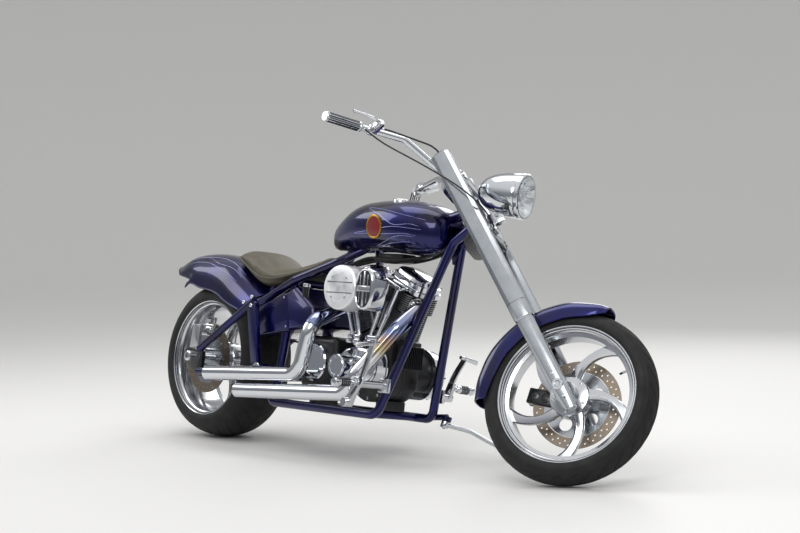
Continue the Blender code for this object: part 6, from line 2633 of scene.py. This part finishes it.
class Cases(Assembly):
    """Crankcase, gearbox, cam cover and primary cover."""

    def build(self) -> None:
        """Builds the castings."""
        self.crankcase()
        self.gearbox()
        self.cam_cover()
        self.primary()

    def crankcase(self) -> None:
        """The crankcase: two halves with a parting flange, case bolts and a foot on the frame."""
        case = self.shop.chassis("split_crankcase", "black_coated_casting")
        outline = arc((CRANK.x, CRANK.z), 0.126, -150, -30, 24)
        for bank in (1, -1):
            up = Vector((sin(bank * BANK_ANGLE), cos(BANK_ANGLE)))
            across = Vector((up.y, -up.x))
            spots = [up * 0.1495 + across * bank * 0.064, up * 0.1495 - across * bank * 0.030]
            for spot in spots if bank > 0 else reversed(spots):
                outline.append((CRANK.x + spot.x, CRANK.z + spot.y))
        case.plate(outline, 0.146, at_side(0.005), 0.005)
        wider = [(CRANK.x + (x - CRANK.x) * 1.012, CRANK.z + (z - CRANK.z) * 1.008) for x, z in outline]
        case.plate(wider, 0.010, at_side(0.005), 0.002)
        case.box((0.040, 0.118, 0.040), (1.060, 0.005, 0.210), 0.005)
        case.use("zinc_plated_steel")
        for angle in (-150, -120, -90, -60, -30):
            spot = Vector((cos(radians(angle)), 0, sin(radians(angle)))) * 0.112
            case.bolt((CRANK.x + spot.x, -0.068, CRANK.z + spot.z), Side.RIGHT.out, 0.0065)
        case.done("crankcase")

    def gearbox(self) -> None:
        """The gearbox with its clutch door and output sprocket shaft."""
        box = self.shop.chassis("ribbed_gearbox", "black_coated_casting")
        z = CRANK.z + 0.005
        box.box((0.208, 0.188, 0.208), (GEARBOX_X, -0.005, z), 0.024, segments=5)
        box.box((0.040, 0.118, 0.075), (0.660, 0, 0.222), 0.005)
        box.rod((GEARBOX_X - 0.015, 0.08, CRANK.z), (GEARBOX_X - 0.015, 0.163, CRANK.z), 0.0405, sides=40)
        box.use("chrome_plated_steel")
        door = [
            (0.0740, 0), (0.0745, 0.004), (0.0745, 0.018), (0.0700, 0.023), (0.052, 0.0245), (0.050, 0.0225),
            (0, 0.0225)
        ]
        box.lathe(door, turn_to(Side.RIGHT.out, (GEARBOX_X, -0.0995, z)), 56)
        box.use("zinc_plated_steel")
        for a, b in circle(6, 0.063, tau / 12):
            box.bolt((GEARBOX_X + a, -0.1225, z + b), Side.RIGHT.out, 0.0048, 0.004)
        box.done("gearbox")

    def cam_cover(self) -> None:
        """The polished cam cover with its screws and the round ignition cover."""
        cover = self.shop.chassis("cam_and_ignition_cover", "chrome_plated_steel")
        face = -0.0705
        rings = []
        for depth, inset in (
            (0, 0), (0.006, 0), (0.0075, 0.004), (0.050, 0.004), (0.058, 0.006), (0.063, 0.010),
            (0.0658, 0.017)
        ):
            ring = oval(0.115 - inset, 0.078 - inset, 2.8, 72)
            rings.append([(CRANK.x - 0.010 + a, face - depth, CRANK.z + 0.006 + b) for a, b in ring])
        cover.loft(rings)
        nose = [
            (0.0470, 0), (0.0470, 0.096), (0.0455, 0.1015), (0.0425, 0.1045), (0.0330, 0.1048),
            (0.0320, 0.1030), (0, 0.1030)
        ]
        cover.lathe(nose, turn_to(Side.RIGHT.out, (0.985, face - 0.05, CRANK.z)), 64)
        cover.use("zinc_plated_steel")
        for a, b in oval(0.106, 0.069, 2.8, 10):
            cover.bolt(
                (CRANK.x - 0.010 + a, face - 0.0555, CRANK.z + 0.006 + b), Side.RIGHT.out, 0.0045, 0.006
            )
        for a, b in circle(3, 0.0385, 0.5):
            cover.bolt((0.985 + a, face - 0.1540, CRANK.z + b), Side.RIGHT.out, 0.0032, 0.003)
        cover.done("cam_cover")

    def primary(self) -> None:
        """The long primary cover on the left with its two round covers, and the spacer behind it."""
        cover = self.shop.chassis("primary_drive_cover", "chrome_plated_steel")
        front, rear = (CRANK.x, CRANK.z - 0.005), (GEARBOX_X, CRANK.z + 0.010)
        rings = []
        for y, inset in (
            (0.1805, 0.002), (0.182, 0), (0.189, 0), (0.190, 0.004), (0.228, 0.006), (0.237, 0.010),
            (0.2425, 0.017), (0.2445, 0.028)
        ):
            rings.append([(x, y, z) for x, z in belt_line(0.100 - inset, 0.118 - inset, front, rear, 30)])
        cover.loft(rings)
        for spot, radius in ((rear, 0.070), ((0.880, CRANK.z + 0.002), 0.034)):
            disc = [(radius, 0), (radius, 0.0008), (radius - 0.004, 0.0013), (0, 0.0013)]
            cover.lathe(disc, turn_to((0, 1, 0), (spot[0], 0.2443, spot[1])), 64)
        cover.use("zinc_plated_steel")
        line = belt_line(0.091, 0.109, front, rear, 4)
        for x, z in line:
            cover.bolt((x, 0.2300, z), (0, 1, 0), 0.0050, 0.008)
        cover.done("primary_cover")
        spacer = self.shop.chassis("primary_spacer", "black_coated_casting")
        spacer.rod((CRANK.x, 0.0806, CRANK.z), (CRANK.x, 0.1798, CRANK.z), 0.0745, sides=56, edge=0.002)
        spacer.done("primary_spacer")


class Intake(Assembly):
    """Carburettor, its air cleaner with the slotted side cover, and the finned regulator."""

    def build(self) -> None:
        """Builds the intake and the regulator."""
        self.carburettor()
        self.air_cleaner()
        self.regulator()
        self.loom()

    def carburettor(self) -> None:
        """The carburettor with its float bowl, and the Y manifold to both heads."""
        x, z = CRANK.x, CARBURETTOR_Z
        carb = self.shop.chassis("carburettor_and_manifold", "black_coated_casting")
        carb.rod((x, -0.070, z), (x, -0.1795, z), 0.026, sides=40)
        carb.box((0.040, 0.100, 0.048), (x, -0.030, z + 0.022), 0.004)
        for bank in (1, -1):
            inner = -bank * 0.0835
            place = bank_frame(bank)
            carb.box((0.0058, 0.056, 0.056), (inner, 0, 0.300), 0.002, place)
            carb.rod((x, 0, z + 0.028), place @ Vector((inner, 0, 0.300)), 0.017)
        carb.use("polished_cast_aluminium").box(
            (0.058, 0.058, 0.058), (x, -0.135, z - 0.030), 0.008, segments=4
        )
        carb.use("zinc_plated_steel").rod((x, -0.135, z - 0.067), (x, -0.135, z - 0.058), 0.008, sides=6)
        carb.done("carburettor")

    def air_cleaner(self) -> None:
        """A flat satin cover with screws and two black strips as painted shade of milled grooves, and the
        oval side cover with plain bars over a black sheet painted as the shade in its slots.
        """
        x, z = CRANK.x, CARBURETTOR_Z
        cover = self.shop.chassis("milled_air_cleaner", "satin_milled_aluminium", "chrome")
        place = Matrix.Translation((x, -0.1805, z)) @ Matrix.Rotation(radians(90), 4, "X")
        place = place @ Matrix.Diagonal((1.05, 0.955, 1, 1))
        profile = [
            (0, 0), (0.086, 0), (0.0895, 0.003), (0.0900, 0.006), (0.0900, 0.072), (0.0892, 0.0775),
            (0.0872, 0.0815), (0.0845, 0.0838), (0.0820, 0.0845)
        ]
        profile += [(0.0570, 0.0852), (0.0562, 0.0836), (0.0538, 0.0836), (0.0530, 0.0853), (0, 0.0858)]
        cover.lathe(profile, place, 96)
        # painted shade: two thin black strips on the satin face stand in for the shade in milled grooves
        cover.use("black_stove_enamel")
        for lift in (-0.020, 0.020):
            cover.box((0.150, 0.0012, 0.0034), (x + 0.004, -0.2660, z + lift), 0.0004)
        cover.use("zinc_plated_steel")
        for a in (-0.040, 0.040):
            for b in (-0.037, 0.037):
                cover.bolt((x + a, -0.2655, z + b), Side.RIGHT.out, 0.0045, 0.0022)
        cover.use("polished_cast_aluminium")
        cover.box((0.088, 0.028, 0.068), (x + 0.105, -0.220, z), 0.004)
        mid = x + 0.149
        rings = []
        for depth, inset in (
            (0, 0.002), (0.001, 0), (0.058, 0), (0.0645, 0.0025), (0.0685, 0.0065), (0.0695, 0.0090),
            (0.0665, 0.0115)
        ):
            rings.append(
                [(mid + a, -0.200 - depth, z + b) for a, b in oval(0.052 - inset, 0.080 - inset, 2.6, 72)]
            )
        cover.use("chrome_plated_steel").loft(rings)
        # painted shade: a thin black oval sheet behind the bars stands in for the shade in the cover's slots
        cover.use("black_stove_enamel")
        cover.loft(
            [[(mid + a, -0.2664 - d, z + b) for a, b in oval(0.0400, 0.0680, 2.6, 56)] for d in (0, 0.0006)]
        )
        cover.use("chrome_plated_steel")
        for a, wide, tall in ((-0.0215, 0.0035, 0.106), (0, 0.0100, 0.132), (0.0215, 0.0035, 0.106)):
            cover.box((wide, 0.0022, tall), (mid + a, -0.2679, z), 0.001)
        cover.box((0.076, 0.0024, 0.0210), (mid, -0.2680, z), 0.001)
        cover.done("air_cleaner")

    def regulator(self) -> None:
        """The finned voltage regulator between the downtubes."""
        back = 1.1268
        unit = self.shop.chassis("finned_voltage_regulator", "black_coated_casting")
        unit.box((0.028, 0.098, 0.088), (back + 0.0145, 0, 0.400), 0.003)
        for k in range(11):
            unit.box((0.022, 0.0030, 0.085), (back + 0.038, -0.045 + 0.009 * k, 0.400), 0.001)
        unit.done("regulator")

    def loom(self) -> None:
        """The ignition coil and the wiring that run along the backbone, under the tank."""
        loom = self.shop.chassis("coil_and_wiring_loom", "black_coated_casting")
        loom.box((0.150, 0.070, 0.034), (1.020, 0, 0.776), 0.006)
        for y in (-0.022, 0.022):
            loom.rod((0.925, y, 0.770), (0.945, y, 0.770), 0.013)
        loom.use("neoprene_rubber")
        for y, drop in ((-0.034, 0.0), (-0.020, 0.008), (0.030, 0.004)):
            path = [(0.760, y * 0.5, 0.742), (0.900, y, 0.772 - drop), (1.060, y * 1.2, 0.768 - drop)]
            path += [(1.230, y * 0.7, 0.790), (1.330, y * 0.4, 0.835)]
            loom.tube(flowing(path, 10), 0.0055, 14)
        loom.done()


class Exhausts(Assembly):
    """The two drag pipes, tinted by heat near the heads."""

    RADIUS = 0.030
    WALL = 0.002
    Y = -0.242
    ROUTES = (
        # name, bank, points in the bank's frame, points on the chassis, bend radius
        (
            "front", 1, ((0.0810, -0.045, 0.305), (0.107, -0.045, 0.305)),
            ((1.216, -0.132, 0.505), (1.132, -0.235, 0.323), (1.085, Y, 0.246), (0.412, Y, 0.208)), 0.060,
        ),
        (
            "rear", -1, ((-0.0810, -0.035, 0.305), (-0.098, -0.035, 0.305), (-0.120, -0.060, 0.290)),
            ((0.835, Y, 0.500), (0.790, Y, 0.298), (0.197, Y, 0.263)), 0.070,
        ),
    )

    def build(self) -> None:
        """Builds both pipes."""
        for word, bank, ports, route, bend in self.ROUTES:
            head = [bank_frame(bank) @ Vector(port) for port in ports]
            self.pipe(word, bent([*head, *route], bend, 16))

    def pipe(self, word: str, line: Ring) -> None:
        """A bent pipe with a flange nut at the head and a slash-free tail, its bore a black disc of painted
        shade and soot.

        Args:
            word: the cylinder's name.
            line: its centre line from head to tail.
        """
        pipe = self.shop.chassis(f"{word}_drag_pipe", "heat_tinted_chrome", "chrome")
        share = 0.45
        split = next(i for i, spot in enumerate(line) if i / len(line) > share and spot.y < -0.23)
        pipe.tube(line[: split + 1], self.RADIUS, 44)
        pipe.use("chrome_plated_steel").tube(line[split:], self.RADIUS - 0.0001, 44)
        tail = line[-1]
        inward = (line[-2] - line[-1]).normalized()
        bore = turn_to(-inward, tail)
        lip = [
            (self.RADIUS - 0.0004, -0.001), (self.RADIUS, 0.0002), (self.RADIUS - self.WALL * 0.5, 0.0012),
            (self.RADIUS - self.WALL, 0.0002)
        ]
        pipe.lathe(lip, bore, 44, closed=True)
        # painted shade with soot: a flat black disc 0.3 mm in closes the bore in place of the shade down the
        # pipe
        pipe.use("soot_black_bore").lathe([(self.RADIUS - self.WALL - 0.0002, 0.0003), (0, 0.0003)], bore, 44)
        head = turn_to(line[1] - line[0], line[0])
        pipe.use("zinc_plated_steel").lathe(
            [(0.030, 0.0), (0.0345, 0.001), (0.0345, 0.005), (0.030, 0.006)], head, 40
        )
        pipe.done(f"{word}_exhaust")


# Studio


@dataclass(frozen=True)
class Studio:
    """Pale floor and backdrop, soft boxes and the photograph's camera.

    Args:
        eye: the camera's place.
        target: what it looks at.
        roll: its roll in degrees.
        lens: focal length on a 36 mm wide sensor.
    """

    eye: tuple[float, float, float] = (6.302, -5.234, 1.165)
    target: tuple[float, float, float] = (0.1215, 0.0722, 0.7347)
    roll: float = -1.4286
    lens: float = 96.0

    SENSOR_MM = 36.0
    FLOOR_HALF = 36.0
    BACKDROP_AWAY = 17.0
    BACKDROP_HEIGHT = 16.0
    SWEEP = 6.0
    AIM = Vector((0, 0, 0.6))
    SOFT_BOXES = (
        # name, place, size, watts
        ("key_box", (3.4, -3.6, 3.9), (3.2, 2.2), 115),
        ("rear_box", (-3.6, -2.2, 3.2), (2.6, 2.0), 60),
        ("top_box", (-0.3, 0.6, 4.4), (4.0, 2.2), 60),
        ("far_box", (-1.5, 4.2, 2.8), (3.0, 2.0), 60),
    )

    SURROUND = ((0.0, "8b8e93"), (0.25, "9a9da3"), (0.6, "f2f3f5"), (1.0, "ffffff"))

    def build(self) -> None:
        """Makes the floor, the lights, the world and the camera."""
        self.floor()
        for name, place, size, watts in self.SOFT_BOXES:
            self.soft_box(name, place, size, watts)
        self.world()
        self.camera()
        bpy.context.scene.view_settings.view_transform = "Standard"

    def floor(self) -> None:
        """A pale sealed floor that sweeps up into the backdrop, far behind the motorcycle."""
        recipe = Finish("sealed_pale_floor", "dddcda", 0.55, 0.0, 3.0, 0.02, second="d6d5d2")
        away = Vector((self.target[0] - self.eye[0], self.target[1] - self.eye[1], 0)).normalized()
        side = away.cross(Vector((0, 0, 1))) * self.FLOOR_HALF
        level = self.BACKDROP_AWAY - self.SWEEP
        profile = [(-self.FLOOR_HALF, 0.0), (level, 0.0), *arc((level, self.SWEEP), self.SWEEP, -82.5, 0, 11)]
        profile.append((self.BACKDROP_AWAY, self.BACKDROP_HEIGHT))
        rows = [away * d + Vector((0, 0, z)) for d, z in profile]
        mesh = bpy.data.meshes.new("studio_floor")
        corners = [row + way for row in rows for way in (side, -side)]
        faces = [(i, i + 1, i + 3, i + 2) for i in range(0, len(corners) - 2, 2)]
        mesh.from_pydata(corners, [], faces)
        mesh.shade_smooth()
        mesh.materials.append(recipe.make())
        floor = bpy.data.objects.new("studio_floor", mesh)
        bpy.context.scene.collection.objects.link(floor)

    def soft_box(self, name: str, place: Point, size: tuple[float, float], watts: float) -> None:
        """A rectangular soft box that faces the motorcycle.

        Args:
            name: its name.
            place: its middle.
            size: its sides.
            watts: its power.
        """
        light = bpy.data.lights.new(name, "AREA")
        light.shape = "RECTANGLE"
        light.size, light.size_y = size
        light.energy = watts
        lamp = bpy.data.objects.new(name, light)
        lamp.location = place
        lamp.rotation_euler = (self.AIM - Vector(place)).to_track_quat("-Z", "Y").to_euler()
        bpy.context.scene.collection.objects.link(lamp)

    def world(self) -> None:
        """A plain surround: bright overhead, darker towards the horizon, as a studio's walls are."""
        world = bpy.data.worlds.new("studio_surround")
        world.use_nodes = True
        bench = Bench(world.node_tree, world.node_tree.nodes["Background"])
        way = bench.node("TexCoord").outputs["Generated"]
        height = bench.node("SeparateXYZ", {0: way}).outputs["Z"]
        bench.feed("Color", bench.ramp(height, self.SURROUND))
        bench.shader.inputs["Strength"].default_value = 0.9
        bpy.context.scene.world = world

    def camera(self) -> None:
        """The photograph's view: low, from the right front, with a slight roll."""
        data = bpy.data.cameras.new("photo_camera")
        data.lens = self.lens
        data.sensor_width = self.SENSOR_MM
        camera = bpy.data.objects.new("photo_camera", data)
        ahead = (Vector(self.target) - Vector(self.eye)).normalized()
        right = ahead.cross(Vector((0, 0, 1))).normalized()
        up = right.cross(ahead)
        roll = radians(self.roll)
        side = right * cos(roll) + up * sin(roll)
        top = up * cos(roll) - right * sin(roll)
        camera.matrix_world = Matrix.Translation(self.eye) @ Matrix((side, top, -ahead)).transposed().to_4x4()
        bpy.context.scene.collection.objects.link(camera)
        bpy.context.scene.camera = camera


ASSEMBLIES: tuple[type, ...] = (
    LoopFrame,
    RearAxle,
    BeltDrive,
    SideStand,
    Wheels,
    FuelTank,
    RearFender,
    OilTank,
    Saddle,
    Cylinders,
    Cases,
    Intake,
    Exhausts,
    FootControls,
    ForkLegs,
    Trees,
    Handlebar,
    Headlamp,
    Cables,
)


def dress_frame(nodes: dict[str, bpy.types.Object], record: dict, finishes: Finishes) -> None:
    """Gives every CAD node that still shows its real finish.

    Args:
        nodes: the CAD nodes by name.
        record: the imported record.
        finishes: the finishes.
    """
    for row in record["subparts"]:
        node = nodes[row["node"]]
        node.data.materials.clear()
        node.data.materials.append(finishes[FINISH_OF_SLOT[row["material_slot"]]])


def main() -> None:
    """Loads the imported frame, builds each sub-assembly in order and sets up the studio."""
    logging.basicConfig(level=logging.INFO, format="%(message)s")
    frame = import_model()
    finishes = Finishes()
    dress_frame(frame["nodes"], frame["record"], finishes)
    shop = Shop(Stance(frame["joints"]), finishes)
    for assembly in ASSEMBLIES:
        assembly(shop).build()
    Studio().build()


if __name__ == "__main__":
    main()
